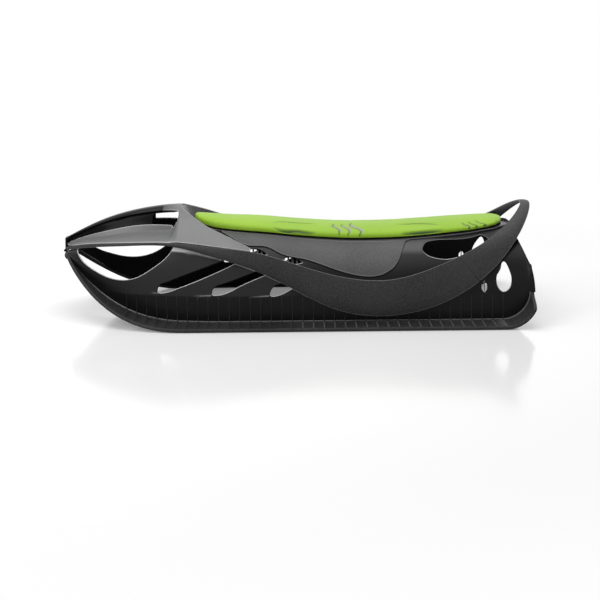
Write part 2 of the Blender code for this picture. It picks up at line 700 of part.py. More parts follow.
def hood_cover(finish):
    """Grey cover from the creases to the ridge, open at the two hand recesses and behind the swept rim."""
    grid, rows = hood_grid()
    keep = np.ones((grid.shape[0] - 1, grid.shape[1] - 1), bool)
    inside = (rows[:-1] > RECESS_X[0] - ROW_SLACK) & (rows[1:] < RECESS_X[1] + ROW_SLACK)
    keep[np.ix_(inside, range(LEDGE_COLUMN, ROOF_COLUMN))] = False
    made = place("hood_cover", grid_mesh("hood_cover", grid, keep), finish)
    return thicken(mirror(made), COVER_WALL)


def hand_recess(side, tag, finish):
    """Dark liner behind the cover's side opening, with the slot for the rider's hand."""
    grid, rows = hood_grid()
    lining = offset(grid, -COVER_WALL - RECESS_SETBACK)
    used = (rows > RECESS_X[0] + ROW_SLACK) & (rows < HOOD_REAR_X + ROW_SLACK)
    lining = lining[used, LEDGE_COLUMN - 1:ROOF_COLUMN + 1]
    rows = rows[used]
    keep = np.ones((lining.shape[0] - 1, lining.shape[1] - 1), bool)
    slot = (rows[:-1] > HAND_SLOT_X[0] - ROW_SLACK) & (rows[1:] < HAND_SLOT_X[1] + ROW_SLACK)
    keep[np.ix_(slot, range(1, keep.shape[1]))] = False
    made = place("hand_recess_" + tag, grid_mesh("hand_recess", lining, keep, side), finish)
    return thicken(made, RECESS_WALL)


def dash_panel(finish):
    """Dark panel that drops from behind the hood's rim to the deck round the front of the seat."""
    x = (DASH_X[0] + (DASH_X[1] - DASH_X[0]) * np.linspace(0.0, 1.0, 8) ** DASH_ROW_POWER)[:, None]
    rim_y = rim(x)
    top_y = rim_y * DASH_TOP_SHARE
    top_z = hood_height(x, rim_y) - COVER_WALL - DASH_TOP_GAP
    foot_y = top_y * DASH_FOOT_SHARE
    foot_x = x + DASH_LEAN * (1 - smoothstep(x, *DASH_LEAN_X))
    foot_z = np.minimum(arch_floor(foot_x, foot_y) + DASH_FOOT_GAP, top_z - DASH_LEAST_HEIGHT)
    share = np.linspace(0.0, 1.0, 4)
    y, z = foot_y + (top_y - foot_y) * share, foot_z + (top_z - foot_z) * share
    grid = points(foot_x + (x - foot_x) * share, -y, z)
    grid[0, :, 1] = 0.0
    made = place("dash_panel", grid_mesh("dash_panel", grid), finish)
    return thicken(mirror(made), DASH_WALL)


def arch_floor(x, half_width):
    """Height of the hull's outer surface at a half width."""
    return arch(x, turn_at_width(x, half_width))[1]


tray_half = rounded(TRAY_PLAN)
pad_half = rounded(PAD_PLAN)


def plan_rows(plan, inner_rows):
    """Rows of x along a closed plan, closer together where it rounds off."""
    start, end = plan[0][0], plan[-1][0]
    share = (1 - np.cos(np.linspace(0.0, math.pi, inner_rows))) / 2
    even = np.linspace(0.0, 1.0, inner_rows)
    return start + (end - start) * (PLAN_ROUND_SHARE * share + (1 - PLAN_ROUND_SHARE) * even)


def seat_tray(finish):
    """Crowned tray on the two half decks, its tongue reaching behind the pad."""
    rows = plan_rows(TRAY_PLAN, 26)[1:-1, None]
    half = tray_half(rows) * np.linspace(1.0, 0.0, 6)[None, :]
    turns = turn_at_width(rows, half)
    grid = arch_grid(rows, turns)
    grid[..., 2] += LAYER_GAP + TRAY_WALL
    grid[:, -1, 1] = 0.0
    made = place("seat_tray", grid_mesh("seat_tray", grid), finish)
    return thicken(mirror(made), TRAY_WALL)


def pad_channel(x, share):
    """Depth of the long moulded grooves at x and at a share of the pad's half width."""
    across = np.exp(-((share - PAD_CHANNEL_AT) / PAD_CHANNEL_HALF) ** 2)
    along = 0.0
    for start, end in PAD_CHANNEL_X:
        along = np.maximum(along, np.clip(4 * (x - start) * (end - x) / (end - start) ** 2, 0, 1) ** 0.5)
    return PAD_CHANNEL * across * along


def seat_pad(finish):
    """Soft green pad with a low crown, drawn-in sides and two long grooves in each half."""
    tips = np.array([PAD_PLAN[0][0] + PAD_TIP, PAD_PLAN[-1][0] - PAD_TIP])
    rows = np.sort(np.append(plan_rows(PAD_PLAN, 30)[1:-1], tips))
    rings = []
    for x in rows:
        half = float(pad_half(x))
        end_round = math.sqrt(min(1.0, half / PAD_END_WIDTH))
        thick = PAD_THICKNESS * (PAD_TIP_SHARE + (1 - PAD_TIP_SHARE) * end_round)
        top = np.array(PAD_TOP_SHARES)
        rise = thick + PAD_CROWN * (1 - top ** 2) - thick * PAD_ROLL_DROP * smoothstep(top, PAD_ROLL_FROM, 1.0)
        rise -= pad_channel(x, top) * end_round
        inner = half - PAD_SIDE_IN
        y = np.concatenate([inner * np.array(PAD_BASE_SHARES), [inner, half], top * (half - PAD_SIDE_IN / 2)])
        lift = np.concatenate([np.zeros(len(PAD_BASE_SHARES)), thick * np.array(PAD_SIDE_LEVELS), rise])
        base = arch_floor(x, y) + LAYER_GAP + TRAY_WALL + CHORD_SLACK
        rings.append(points(x, -y, base + lift))
    return mirror(place("seat_pad", pad_mesh(np.array(rings)), finish))


def pad_mesh(grid):
    """Half of the pad, open only at the middle plane: an outer skin and two end faces."""
    rows, around = grid.shape[:2]

    def build(bm):
        verts = [[bm.verts.new(p) for p in ring] for ring in grid]
        for i in range(rows - 1):
            for j in range(around - 1):
                bm.faces.new([verts[i][j], verts[i + 1][j], verts[i + 1][j + 1], verts[i][j + 1]])
        bm.faces.new(verts[0])
        bm.faces.new(verts[-1][::-1])

    return mesh_from("seat_pad", build)


skirt_edge = spline(SKIRT_EDGE)


def skirt(side, tag, finish):
    """Textured panel on the hull from the edge of the seat tray down to a swept lower edge."""
    front, bend, rear = SKIRT_X
    rows = np.concatenate([np.linspace(front, bend, 16), np.linspace(bend, rear, 12)[1:]])[:, None]
    top = turn_at_width(rows, tray_half(rows) + SKIRT_TRAY_GAP)
    low = np.minimum(turn_at_height(rows, skirt_edge(rows)), top - SKIRT_LEAST_TURN)
    turns = low + (top - low) * np.linspace(0.0, 1.0, 7)[None, :]
    grid = offset(arch_grid(rows, turns), CHORD_SLACK + SKIRT_WALL)
    return shell("side_skirt_" + tag, grid, SKIRT_WALL, finish, side)


def grille(side, tag, place_name, centre, finish):
    """Thin plate behind a lens opening, slit into upright bars."""
    half_x, half_z = GRILLE_LENS_HALF
    count = int(2 * half_x / GRILLE_PITCH)
    slits = centre[0] + (np.arange(count) - (count - 1) / 2) * GRILLE_PITCH
    opened = (GRILLE_PITCH - GRILLE_BAR) / 2
    ends = centre[0] + np.array([-1, 1]) * (half_x + GRILLE_MARGIN)
    rows = np.sort(np.concatenate([ends, slits - opened, slits + opened]))[:, None]
    middle = centre[1] + GRILLE_SLOPE * (rows - centre[0])
    reach = np.array([[-1.0, -0.5, 0.5, 1.0]]) * half_z + np.array([[-1.0, 0.0, 0.0, 1.0]]) * GRILLE_MARGIN
    reach[:, 1:3] *= 2.2
    grid = offset(arch_grid(rows, turn_at_height(rows, middle + reach)), -HULL_WALL - CHORD_SLACK)
    keep = np.ones((len(rows) - 1, 3), bool)
    keep[1::2, 1] = False
    return shell("grille_%s_%s" % (place_name, tag), grid, GRILLE_WALL, finish, side, keep)


def cross_rib(number, x, finish):
    """Arched web under the deck that ties the hull halves together."""
    turns = np.linspace(turn_at_width(x, RIB_REACH), 1.0, 9)
    left = np.column_stack(arch(x, turns)) * (LEFT, 1)
    outline = np.vstack([left, left[-2::-1] * (-1, 1)])
    run = np.gradient(outline, axis=0)
    across = np.stack([-run[:, 1], run[:, 0]], axis=1)
    across /= np.linalg.norm(across, axis=1, keepdims=True)
    upper = outline - across * (HULL_WALL + LAYER_GAP + RIB_SLACK)
    lower = outline - across * (HULL_WALL + LAYER_GAP + RIB_DEPTH)
    ring = np.vstack([upper, lower[::-1]])
    name = "cross_rib_%d" % number
    spots = [(x - RIB_THICKNESS / 2, y, z) for y, z in ring]
    return place(name, extruded(name, spots, (RIB_THICKNESS, 0, 0)), finish)


def band_inner_half(x, z):
    """Half width of the band's inner face at a spot of its side view."""
    grid = offset(band_grid(0.0, BAND_SEAM, 90), -BAND_WALL).reshape(-1, 3)
    nearest = np.argmin((grid[:, 0] - x) ** 2 + (grid[:, 2] - z) ** 2)
    return -grid[nearest, 1]


def band_spacers(side, tag, finish):
    """Round bosses that hold the side band off the hull."""
    for number, (x, z) in enumerate(SPACERS, 1):
        wall = max(arch(x, turn_at_height(x, z + dz))[0] for dz in (-SPACER_RADIUS, 0, SPACER_RADIUS))
        start, end = wall + LAYER_GAP, band_inner_half(x, z) - SPACER_SLACK
        disc("band_spacer_%s_%d" % (tag, number), (x, side * (start + end) / 2, z), SPACER_RADIUS, end - start,
             finish, "Y", SPACER_SIDES)


def boss_half():
    """Half width of the outer face of the boss rails, just inside the hull's foot."""
    return FOOT_HALF_WIDTH - HULL_WALL - BOSS_SLACK


def boss_rail(side, tag, finish):
    """Rail inside the hull's foot whose bosses the ski screws bite into, cut as a comb and carried along Y."""
    length, width, height = BOSS_SIZE
    bottom = SKI_TOP + GAP
    outline = [(BOSS_X[0] - length / 2, bottom), (BOSS_X[-1] + length / 2, bottom)]
    for x in BOSS_X[::-1]:
        right, left = x + length / 2, x - length / 2
        outline += [(right, bottom + height), (left, bottom + height)]
        if x != BOSS_X[0]:
            previous = BOSS_X[BOSS_X.index(x) - 1] + length / 2
            outline += [(left, bottom + RAIL_HEIGHT), (previous, bottom + RAIL_HEIGHT)]
    outer = side * boss_half()
    name = "boss_rail_" + tag
    return place(name, side_prism(name, outline, outer, outer - side * width), finish)


def ski_screws(side, tag, finish):
    """Pan heads under the ski's inner lip."""
    y = boss_half() - BOSS_SIZE[1] / 2
    for number, x in enumerate(BOSS_X, 1):
        spot = (x, side * y, GLIDE_THICKNESS - SCREW_HEAD_HEIGHT / 2)
        disc("ski_screw_%s_%d" % (tag, number), spot, SCREW_HEAD_RADIUS, SCREW_HEAD_HEIGHT, finish)


def tray_screws(side, tag, finish):
    """Pan heads under the half deck that hold the seat tray down."""
    for number, x in enumerate(TRAY_SCREW_X, 1):
        top = float(arch_floor(x, TRAY_SCREW_Y + SCREW_HEAD_RADIUS)) - HULL_WALL - CHORD_SLACK
        spot = (x, side * TRAY_SCREW_Y, top - SCREW_HEAD_HEIGHT / 2)
        disc("tray_screw_%s_%d" % (tag, number), spot, SCREW_HEAD_RADIUS, SCREW_HEAD_HEIGHT, finish)


def pad_studs(finish):
    """Push studs under the tray that hold the pad."""
    for number, x in enumerate(PAD_STUD_X, 1):
        top = float(arch_floor(x, PAD_STUD_RADIUS)) - GAP
        spot = (x, 0.0, top - PAD_STUD_LENGTH / 2)
        disc("pad_stud_%d" % number, spot, PAD_STUD_RADIUS, PAD_STUD_LENGTH, finish)


def nose_bumper(finish):
    """Dark cap in front of the hood whose lower lip is the sled's foremost point."""
    outline = [(NOSE_X + dx, z) for dx, z in BUMPER_OUTLINE]
    return place("nose_bumper", side_prism("nose_bumper", outline, -BUMPER_HALF, BUMPER_HALF), finish)


def tow_eye(finish):
    """Steel ring under the nose for a tow cord."""
    bpy.ops.mesh.primitive_torus_add(major_segments=16, minor_segments=8, major_radius=EYE_RADIUS,
                                     minor_radius=EYE_WIRE, location=(NOSE_X + EYE_BACK, 0.0, EYE_Z),
                                     rotation=(math.pi / 2, 0.0, 0.0))
    ring = bpy.context.object
    ring.name = "tow_eye"
    ring.data.materials.append(finish)
    for owner in list(ring.users_collection):
        owner.objects.unlink(ring)
    sled.objects.link(ring)
    return ring


bpy.context.scene.collection.children.link(sled)
bpy.context.scene.collection.children.link(cutters)

BLACK = material("black plastic", (0.012, 0.012, 0.013), 0.35)
GREY = material("grained grey plastic", (0.035, 0.036, 0.038), 0.50)
GREEN = material("green seat foam", (0.36, 0.72, 0.03), 0.55)
SMOOTH = material("smooth glide plastic", (0.06, 0.06, 0.065), 0.25)
STEEL = material("zinc steel", (0.55, 0.56, 0.58), 0.35, 1.0)

for hand, label in SIDES:
    hull_half(hand, label, BLACK)
    ski(hand, label, GREY)
    glide_strip(hand, label, SMOOTH)
    side_band(hand, label, GREY)
    loop_plate(hand, label, BLACK)
    hand_recess(hand, label, BLACK)
    skirt(hand, label, GREY)
    for where, middle in zip(("front", "rear"), GRILLE_LENSES):
        grille(hand, label, where, middle, GREY)
    band_spacers(hand, label, BLACK)
    boss_rail(hand, label, BLACK)
    ski_screws(hand, label, STEEL)
    tray_screws(hand, label, STEEL)
rear_loop(GREY)
hood_cover(GREY)
dash_panel(BLACK)
seat_tray(BLACK)
seat_pad(GREEN)
for count, spot in enumerate(RIB_X, 1):
    cross_rib(count, spot, BLACK)
pad_studs(BLACK)
nose_bumper(BLACK)
tow_eye(STEEL)
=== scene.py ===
# Plastic steering sled: two wide skis, an arched hull, a hood with hand slots, swept side bands, a rear loop and
# a lime green seat pad. Metres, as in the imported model: the nose points to -X, the rider's left is -Y, the floor
# is at z = 0. Every new piece is a numpy surface. Its rows run to the tail and its columns up the left side.
import math

import bpy
import numpy as np
from mathutils import Matrix, Vector


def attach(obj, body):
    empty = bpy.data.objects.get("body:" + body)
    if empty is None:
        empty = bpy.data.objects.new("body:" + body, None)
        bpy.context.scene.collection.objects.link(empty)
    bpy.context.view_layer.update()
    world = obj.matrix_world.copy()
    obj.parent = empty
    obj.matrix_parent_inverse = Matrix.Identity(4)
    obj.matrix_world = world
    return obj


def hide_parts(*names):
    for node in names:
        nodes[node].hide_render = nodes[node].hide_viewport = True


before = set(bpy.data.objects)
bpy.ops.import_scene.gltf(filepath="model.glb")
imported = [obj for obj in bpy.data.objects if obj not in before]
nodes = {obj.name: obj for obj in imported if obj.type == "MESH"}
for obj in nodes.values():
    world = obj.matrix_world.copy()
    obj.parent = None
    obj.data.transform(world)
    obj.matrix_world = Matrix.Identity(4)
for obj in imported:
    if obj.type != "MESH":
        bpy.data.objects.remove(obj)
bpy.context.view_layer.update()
scene = bpy.context.scene


# Camera and studio. The sled is seen from its left side, thirteen degrees above the floor, almost square on.
# It stands on a glossy pale floor that fades into a white surround, under one large soft lamp.
YAW, RISE, TILT = (math.radians(a) for a in (-0.281, 13.0, -0.658))
AIM = Vector((0.0115, 0.0, 0.0130))
AWAY = 2.915

ahead = Vector((math.sin(YAW) * math.cos(RISE), math.cos(YAW) * math.cos(RISE), -math.sin(RISE)))
level = Vector((math.cos(YAW), -math.sin(YAW), 0.0))
upward = level.cross(ahead)
across = math.cos(TILT) * level + math.sin(TILT) * upward
upright = math.cos(TILT) * upward - math.sin(TILT) * level
lens = bpy.data.cameras.new("camera")
lens.sensor_width = 36.0
lens.lens = 66.62
camera = bpy.data.objects.new("camera", lens)
facing = Matrix((across, upright, -ahead)).transposed().to_4x4()
camera.matrix_world = Matrix.Translation(AIM - AWAY * ahead) @ facing
scene.collection.objects.link(camera)
scene.camera = camera
scene.view_settings.view_transform = "Standard"


def lamp(name, power, size, place, turn):
    """Square area lamp: place in metres, turn in degrees about X, Y and Z."""
    light = bpy.data.lights.new(name, "AREA")
    light.energy = power
    light.size = size
    stand = bpy.data.objects.new(name, light)
    stand.location = place
    stand.rotation_euler = [math.radians(a) for a in turn]
    scene.collection.objects.link(stand)


lamp("overhead", 36.0, 2.4, (-0.1, 0.1, 2.2), (0, 0, 0))
lamp("key", 22.0, 1.2, (-1.9, -1.6, 1.6), (59, 0, -48))


def node_maker(tree):
    """Function that adds a node to a tree, sets its plain settings and links or fills its inputs by name."""
    def add(kind, settings=None, **inputs):
        node = tree.nodes.new(kind)
        for key, value in (settings or {}).items():
            setattr(node, key, value)
        for key, value in inputs.items():
            socket = node.inputs[int(key[1:])] if key[0] == "_" else node.inputs[key.replace("_", " ")]
            if isinstance(value, bpy.types.NodeSocket):
                tree.links.new(value, socket)
            else:
                socket.default_value = value
        return node
    return add


surround = bpy.data.worlds.new("surround")
surround.use_nodes = True
surround.node_tree.nodes.clear()
add = node_maker(surround.node_tree)
path = add("ShaderNodeLightPath")
seen = add("ShaderNodeMath", {"operation": "MAXIMUM"}, _0=path.outputs["Is Camera Ray"],
           _1=path.outputs["Is Glossy Ray"])
seen = add("ShaderNodeMath", {"operation": "MAXIMUM"}, _0=seen.outputs[0], _1=path.outputs["Is Transmission Ray"])
strength = add("ShaderNodeMapRange", Value=seen.outputs[0], To_Min=0.38, To_Max=1.0)
sky = add("ShaderNodeBackground", Strength=strength.outputs[0])
sky.inputs["Color"].default_value = (1.0, 1.0, 1.0, 1.0)
add("ShaderNodeOutputWorld", Surface=sky.outputs[0])
scene.world = surround

FLOOR_RADIUS = 3.2
FLOOR_FADE = (0.75, 1.9)
FLOOR_GLOW = 0.20


def surface_mesh(name, points, *faces):
    """Smooth shaded mesh from an array of points and arrays of corner numbers."""
    mesh = bpy.data.meshes.new(name)
    mesh.from_pydata(points.reshape(-1, 3), [], [face for group in faces for face in group.tolist()])
    mesh.shade_smooth()
    mesh.update()
    return mesh


def grid_faces(rows, columns, around=False):
    """Corner numbers of the quads of a grid, closed round its columns if asked."""
    number = np.arange(rows * columns).reshape(rows, columns)
    if around:
        number = np.column_stack([number, number[:, 0]])
    corners = number[:-1, :-1], number[1:, :-1], number[1:, 1:], number[:-1, 1:]
    return np.stack(corners, axis=-1).reshape(-1, 4)


turn = np.linspace(0.0, 2 * math.pi, 96, endpoint=False)[:, None]
out = np.linspace(0.001, FLOOR_RADIUS, 24)[None, :]
disc = np.stack([out * np.cos(turn), out * np.sin(turn), 0 * out * turn], axis=-1)
quads = grid_faces(24, 96, around=True)
disc_mesh = surface_mesh("floor", disc.transpose(1, 0, 2), quads, np.arange(96)[None, :])
floor = bpy.data.objects.new("floor", disc_mesh)
scene.collection.objects.link(floor)
ground = bpy.data.materials.new("pale_floor")
ground.use_nodes = True
add = node_maker(ground.node_tree)
shader = ground.node_tree.nodes["Principled BSDF"]
shader.inputs["Base Color"].default_value = (0.78, 0.78, 0.78, 1.0)
shader.inputs["Roughness"].default_value = 0.13
spot = add("ShaderNodeTexCoord")
flat = add("ShaderNodeVectorMath", {"operation": "LENGTH"}, _0=spot.outputs["Object"])
fade = add("ShaderNodeMapRange", {"interpolation_type": "SMOOTHERSTEP"}, Value=flat.outputs["Value"],
           From_Min=FLOOR_FADE[0], From_Max=FLOOR_FADE[1], To_Min=1.0, To_Max=0.0)
ground.node_tree.links.new(fade.outputs[0], shader.inputs["Alpha"])
shader.inputs["Emission Color"].default_value = (1.0, 1.0, 1.0, 1.0)
glow = add("ShaderNodeMapRange", Value=add("ShaderNodeLightPath").outputs["Is Camera Ray"], To_Max=FLOOR_GLOW)
ground.node_tree.links.new(glow.outputs[0], shader.inputs["Emission Strength"])
floor.data.materials.append(ground)


# Finishes shared by the mouldings. Each is injection moulded or vacuum formed polyethylene, so it has a fine
# grain or a smooth skin, slow changes of tone and a few scuffs. The grain and the scuffs are node groups.
def new_group(name, inputs, outputs):
    """Shader node group with float inputs (name, value), vector input Position, and float outputs by name."""
    tree = bpy.data.node_groups.new(name, "ShaderNodeTree")
    tree.interface.new_socket("Position", in_out="INPUT", socket_type="NodeSocketVector")
    for label, value in inputs:
        tree.interface.new_socket(label, in_out="INPUT", socket_type="NodeSocketFloat").default_value = value
    for label in outputs:
        tree.interface.new_socket(label, in_out="OUTPUT", socket_type="NodeSocketFloat")
    start, end = tree.nodes.new("NodeGroupInput"), tree.nodes.new("NodeGroupOutput")
    return tree, start.outputs, end.inputs, node_maker(tree)


grain_group, given, result, add = new_group("moulded_grain", [("Cells per metre", 600.0)], ["Height", "Tone"])
cells = add("ShaderNodeTexVoronoi", {"feature": "SMOOTH_F1"}, Vector=given["Position"],
            Scale=given["Cells per metre"], Smoothness=0.4)
coarse = add("ShaderNodeTexNoise", Vector=given["Position"], Scale=35.0, Detail=3.0)
lift = add("ShaderNodeMapRange", Value=cells.outputs["Distance"], From_Min=0.05, From_Max=0.65,
           To_Min=1.0, To_Max=0.0)
uneven = add("ShaderNodeMath", {"operation": "MULTIPLY_ADD"}, _0=coarse.outputs["Fac"], _1=0.35,
             _2=lift.outputs[0])
grain_group.links.new(uneven.outputs[0], result["Height"])
slow = add("ShaderNodeTexNoise", Vector=given["Position"], Scale=7.0, Detail=2.0)
speckle_scale = add("ShaderNodeMath", {"operation": "MULTIPLY"}, _0=given["Cells per metre"], _1=0.6)
speckle = add("ShaderNodeTexNoise", Vector=given["Position"], Scale=speckle_scale.outputs[0], Detail=1.5)
mixed = add("ShaderNodeMath", {"operation": "MULTIPLY_ADD"}, _0=speckle.outputs["Fac"], _1=1.5,
            _2=slow.outputs["Fac"])
tone = add("ShaderNodeMapRange", Value=mixed.outputs[0], From_Min=0.95, From_Max=1.55, To_Min=0.0, To_Max=1.0)
grain_group.links.new(tone.outputs[0], result["Tone"])

wear_group, given, result, add = new_group("handling_wear", [("Amount", 0.5)], ["Scuff", "Gloss"])
stretch = add("ShaderNodeMapping", Vector=given["Position"])
stretch.inputs["Scale"].default_value = (14.0, 90.0, 90.0)
lines = add("ShaderNodeTexNoise", Vector=stretch.outputs[0], Scale=3.0, Detail=4.0)
thin = add("ShaderNodeMapRange", Value=lines.outputs["Fac"], From_Min=0.60, From_Max=0.72, To_Min=0.0, To_Max=1.0)
patches = add("ShaderNodeTexNoise", Vector=given["Position"], Scale=5.0, Detail=2.0)
where = add("ShaderNodeMapRange", Value=patches.outputs["Fac"], From_Min=0.45, From_Max=0.65,
            To_Min=0.0, To_Max=1.0)
scuff = add("ShaderNodeMath", {"operation": "MULTIPLY"}, _0=thin.outputs[0], _1=where.outputs[0])
scuff = add("ShaderNodeMath", {"operation": "MULTIPLY"}, _0=scuff.outputs[0], _1=given["Amount"])
wear_group.links.new(scuff.outputs[0], result["Scuff"])
wear_group.links.new(patches.outputs["Fac"], result["Gloss"])


def plastic(name, dark, light, roughness, grain=None, wear=0.3, specular=0.35, edge=0.1):
    """Plastic between two tones: roughness (low, high) over slow patches, grain as (cells per metre, metres).

    Edge is the grey of a painted highlight on its rounded rims, where the mesh has the attribute "edge". Where it
    has the attribute "deep" the moulding is black.
    """
    made = bpy.data.materials.new(name)
    made.use_nodes = True
    tree = made.node_tree
    make = node_maker(tree)
    principled = tree.nodes["Principled BSDF"]
    principled.inputs["Specular IOR Level"].default_value = specular
    place = make("ShaderNodeTexCoord").outputs["Object"]
    cell, depth = grain or (900.0, 0.00002)
    skin = make("ShaderNodeGroup", {"node_tree": grain_group}, Position=place, Cells_per_metre=cell)
    rubbed = make("ShaderNodeGroup", {"node_tree": wear_group}, Position=place, Amount=wear)
    colour = make("ShaderNodeMix", {"data_type": "RGBA"}, Factor=skin.outputs["Tone"])
    colour.inputs[6].default_value = (*dark, 1.0)
    colour.inputs[7].default_value = (*light, 1.0)
    wear_and_highlight = make("ShaderNodeMix", {"data_type": "RGBA"}, Factor=rubbed.outputs["Scuff"])
    wear_and_highlight.inputs[7].default_value = (*(min(1.0, c * 1.6 + 0.01) for c in light), 1.0)
    tree.links.new(colour.outputs[2], wear_and_highlight.inputs[6])
    # Painted highlight: the edge grey is mixed into the colour where the mesh's edge mask marks a rim that catches
    # the light.
    edges = make("ShaderNodeAttribute", {"attribute_name": "edge"})
    rim_highlight = make("ShaderNodeMix", {"data_type": "RGBA"}, Factor=edges.outputs["Fac"])
    rim_highlight.inputs[7].default_value = (edge, edge, edge * 1.02, 1.0)
    tree.links.new(wear_and_highlight.outputs[2], rim_highlight.inputs[6])
    deep = make("ShaderNodeMix", {"data_type": "RGBA"},
                Factor=make("ShaderNodeAttribute", {"attribute_name": "deep"}).outputs["Fac"])
    deep.inputs[7].default_value = (0.005, 0.005, 0.006, 1.0)
    tree.links.new(rim_highlight.outputs[2], deep.inputs[6])
    tree.links.new(deep.outputs[2], principled.inputs["Base Color"])
    rough = make("ShaderNodeMapRange", Value=rubbed.outputs["Gloss"], From_Min=0.3, From_Max=0.7,
                 To_Min=roughness[0], To_Max=roughness[1])
    tree.links.new(rough.outputs[0], principled.inputs["Roughness"])
    bump = make("ShaderNodeBump", Height=skin.outputs["Height"], Distance=depth, Strength=1.0)
    tree.links.new(bump.outputs[0], principled.inputs["Normal"])
    return made


# Each finish's eighth argument, edge, is the grey of the painted highlight on its rims.
hull_black = plastic("hull_black", (0.0035, 0.0035, 0.004), (0.008, 0.008, 0.009), (0.26, 0.40), None, 0.25, 0.13,
                     0.60)
runner_black = plastic("runner_black", (0.012, 0.012, 0.013), (0.034, 0.034, 0.036), (0.42, 0.55),
                       (420.0, 0.00012), 0.5, 0.20, 0.34)
band_grey = plastic("band_grey", (0.014, 0.014, 0.015), (0.036, 0.036, 0.038), (0.46, 0.58), (460.0, 0.00014),
                    0.25, 0.28, 0.34)
skirt_grey = plastic("skirt_grey", (0.038, 0.038, 0.040), (0.072, 0.072, 0.075), (0.48, 0.60), (460.0, 0.00014),
                     0.2, 0.35, 0.20)
hood_grey = plastic("hood_grey", (0.115, 0.116, 0.118), (0.140, 0.141, 0.144), (0.28, 0.38), None, 0.3, 0.45,
                    0.55)
gloss_black = plastic("gloss_black", (0.002, 0.002, 0.0025), (0.004, 0.004, 0.0045), (0.14, 0.22), None, 0.2,
                      0.06, 0.012)
glide_grey = plastic("glide_grey", (0.040, 0.040, 0.042), (0.060, 0.060, 0.063), (0.20, 0.36), None, 1.0, 0.4)
tray_dark = plastic("tray_dark", (0.010, 0.008, 0.012), (0.018, 0.015, 0.022), (0.14, 0.24), None, 0.3, 0.35,
                    0.08)


# Skis: the left and the right runner, each one thick moulding of polyethylene with a rounded outer lip, a low
# bead along the hull and fine cross ribs on its ledge. It sweeps up to the nose and kicks up round the tail.
NOSE_X = -0.600
BOW_LENGTH = 0.340
NOSE_RISE = 0.160
SKI_HALF_WIDTH = 0.286
BOW_FULLNESS = 0.7
SKI_START_X = -0.592
SKI_THICKNESS = 0.0045
SKI_INNER_LIP = 0.014
SKI_EDGE = 0.004
GLIDE_THICKNESS = 0.0042
GAP = 0.0003
SKI_TOP = GLIDE_THICKNESS + GAP + SKI_THICKNESS
TAIL_ARC_RADIUS = 0.078
TAIL_ARC_X = 0.503
TAIL_TURN = math.radians(84)
TAIL_TOP_HALF_WIDTH = 0.2160
TAIL_KICK_TOP_Z = 0.076
TAIL_WIDE_Z = 0.045
TAIL_BESIDE_Z = 0.074
FOOT_HALF_WIDTH = 0.213
FOOT_BOW_LENGTH = 0.450
FOOT_FULLNESS = 0.6
WALL_SLACK = 0.0015
RIB_START_X = -0.4163
RIB_STEP = 0.02563
RIB_COUNT = 37
LEDGE_RIB = 0.0014
LEFT = -1
SIDES = ((LEFT, "left"), (1, "right"))


def smoothstep(x, start, end):
    """Zero at start, one at end and smooth between. Start may be above end."""
    t = np.clip((x - start) / (end - start), 0.0, 1.0)
    return t * t * (3 - 2 * t)


def bow_plan(x, half_width, length, fullness):
    """Half width of the bow in plan: zero at the nose, growing as (u(2-u)) to a power until it is full."""
    u = np.clip((x - NOSE_X) / length, 1e-6, 1.0)
    return half_width * (u * (2 - u)) ** fullness


def sole_height(x):
    """Underside of a ski: at the bow the nose's rise times (1-u) to the power 2.5, then flat on the floor."""
    return NOSE_RISE * (1 - np.clip((x - NOSE_X) / BOW_LENGTH, 0.0, 1.0)) ** 2.5


def sole_slope(x):
    """Slope of the sole's height along X."""
    return -2.5 * NOSE_RISE / BOW_LENGTH * (1 - np.clip((x - NOSE_X) / BOW_LENGTH, 0.0, 1.0)) ** 1.5


def foot_half(x):
    """Half width of the hull's foot in plan."""
    return bow_plan(x, FOOT_HALF_WIDTH, FOOT_BOW_LENGTH, FOOT_FULLNESS)


def sole_path(x):
    """Sole line through rows of x, then round the tail's arc and straight to its top, as (x, z, slope angle)."""
    arc = np.linspace(0.0, TAIL_TURN, 32)[1:]
    angle = np.concatenate([np.arctan(sole_slope(x)), arc, [TAIL_TURN]])
    z = np.concatenate([sole_height(x), TAIL_ARC_RADIUS * (1 - np.cos(arc)), [TAIL_KICK_TOP_Z]])
    lean = (TAIL_KICK_TOP_Z - z[-2]) / math.tan(TAIL_TURN)
    x = np.concatenate([x, TAIL_ARC_X + TAIL_ARC_RADIUS * np.sin(arc), [0.0]])
    x[-1] = x[-2] + lean
    return x[:, None], z[:, None], angle[:, None]


def ski_widths(x, z):
    """Inner and outer half width of a ski, drawn in towards the top of the tail's kick."""
    outer = bow_plan(x, SKI_HALF_WIDTH, BOW_LENGTH, BOW_FULLNESS)
    taper = np.where(x > TAIL_ARC_X, smoothstep(z, TAIL_WIDE_Z, TAIL_KICK_TOP_Z), 0.0)
    inner = np.maximum(foot_half(x) - SKI_INNER_LIP, 0.0008)
    beside = np.where(x > TAIL_ARC_X, smoothstep(z, TAIL_WIDE_Z, TAIL_BESIDE_Z), 0.0)
    return (inner + (FOOT_HALF_WIDTH + WALL_SLACK - inner) * beside,
            outer + (TAIL_TOP_HALF_WIDTH - outer) * taper)


def rib_share(x):
    """One on the middle line of each cross rib, falling as a parabola to zero 2 mm beside it."""
    nearest = np.clip(np.round((x - RIB_START_X) / RIB_STEP), 0, RIB_COUNT - 1)
    return np.clip(1 - ((x - RIB_START_X - RIB_STEP * nearest) / 0.002) ** 2, 0.0, 1.0)


def tube_faces(rows, columns):
    """Quads round a closed section carried along rows, and its two end faces as single polygons."""
    ends = np.arange(columns), np.arange(rows * columns - 1, (rows - 1) * columns - 1, -1)
    return grid_faces(rows, columns, around=True), ends[0][None, :], ends[1][None, :]


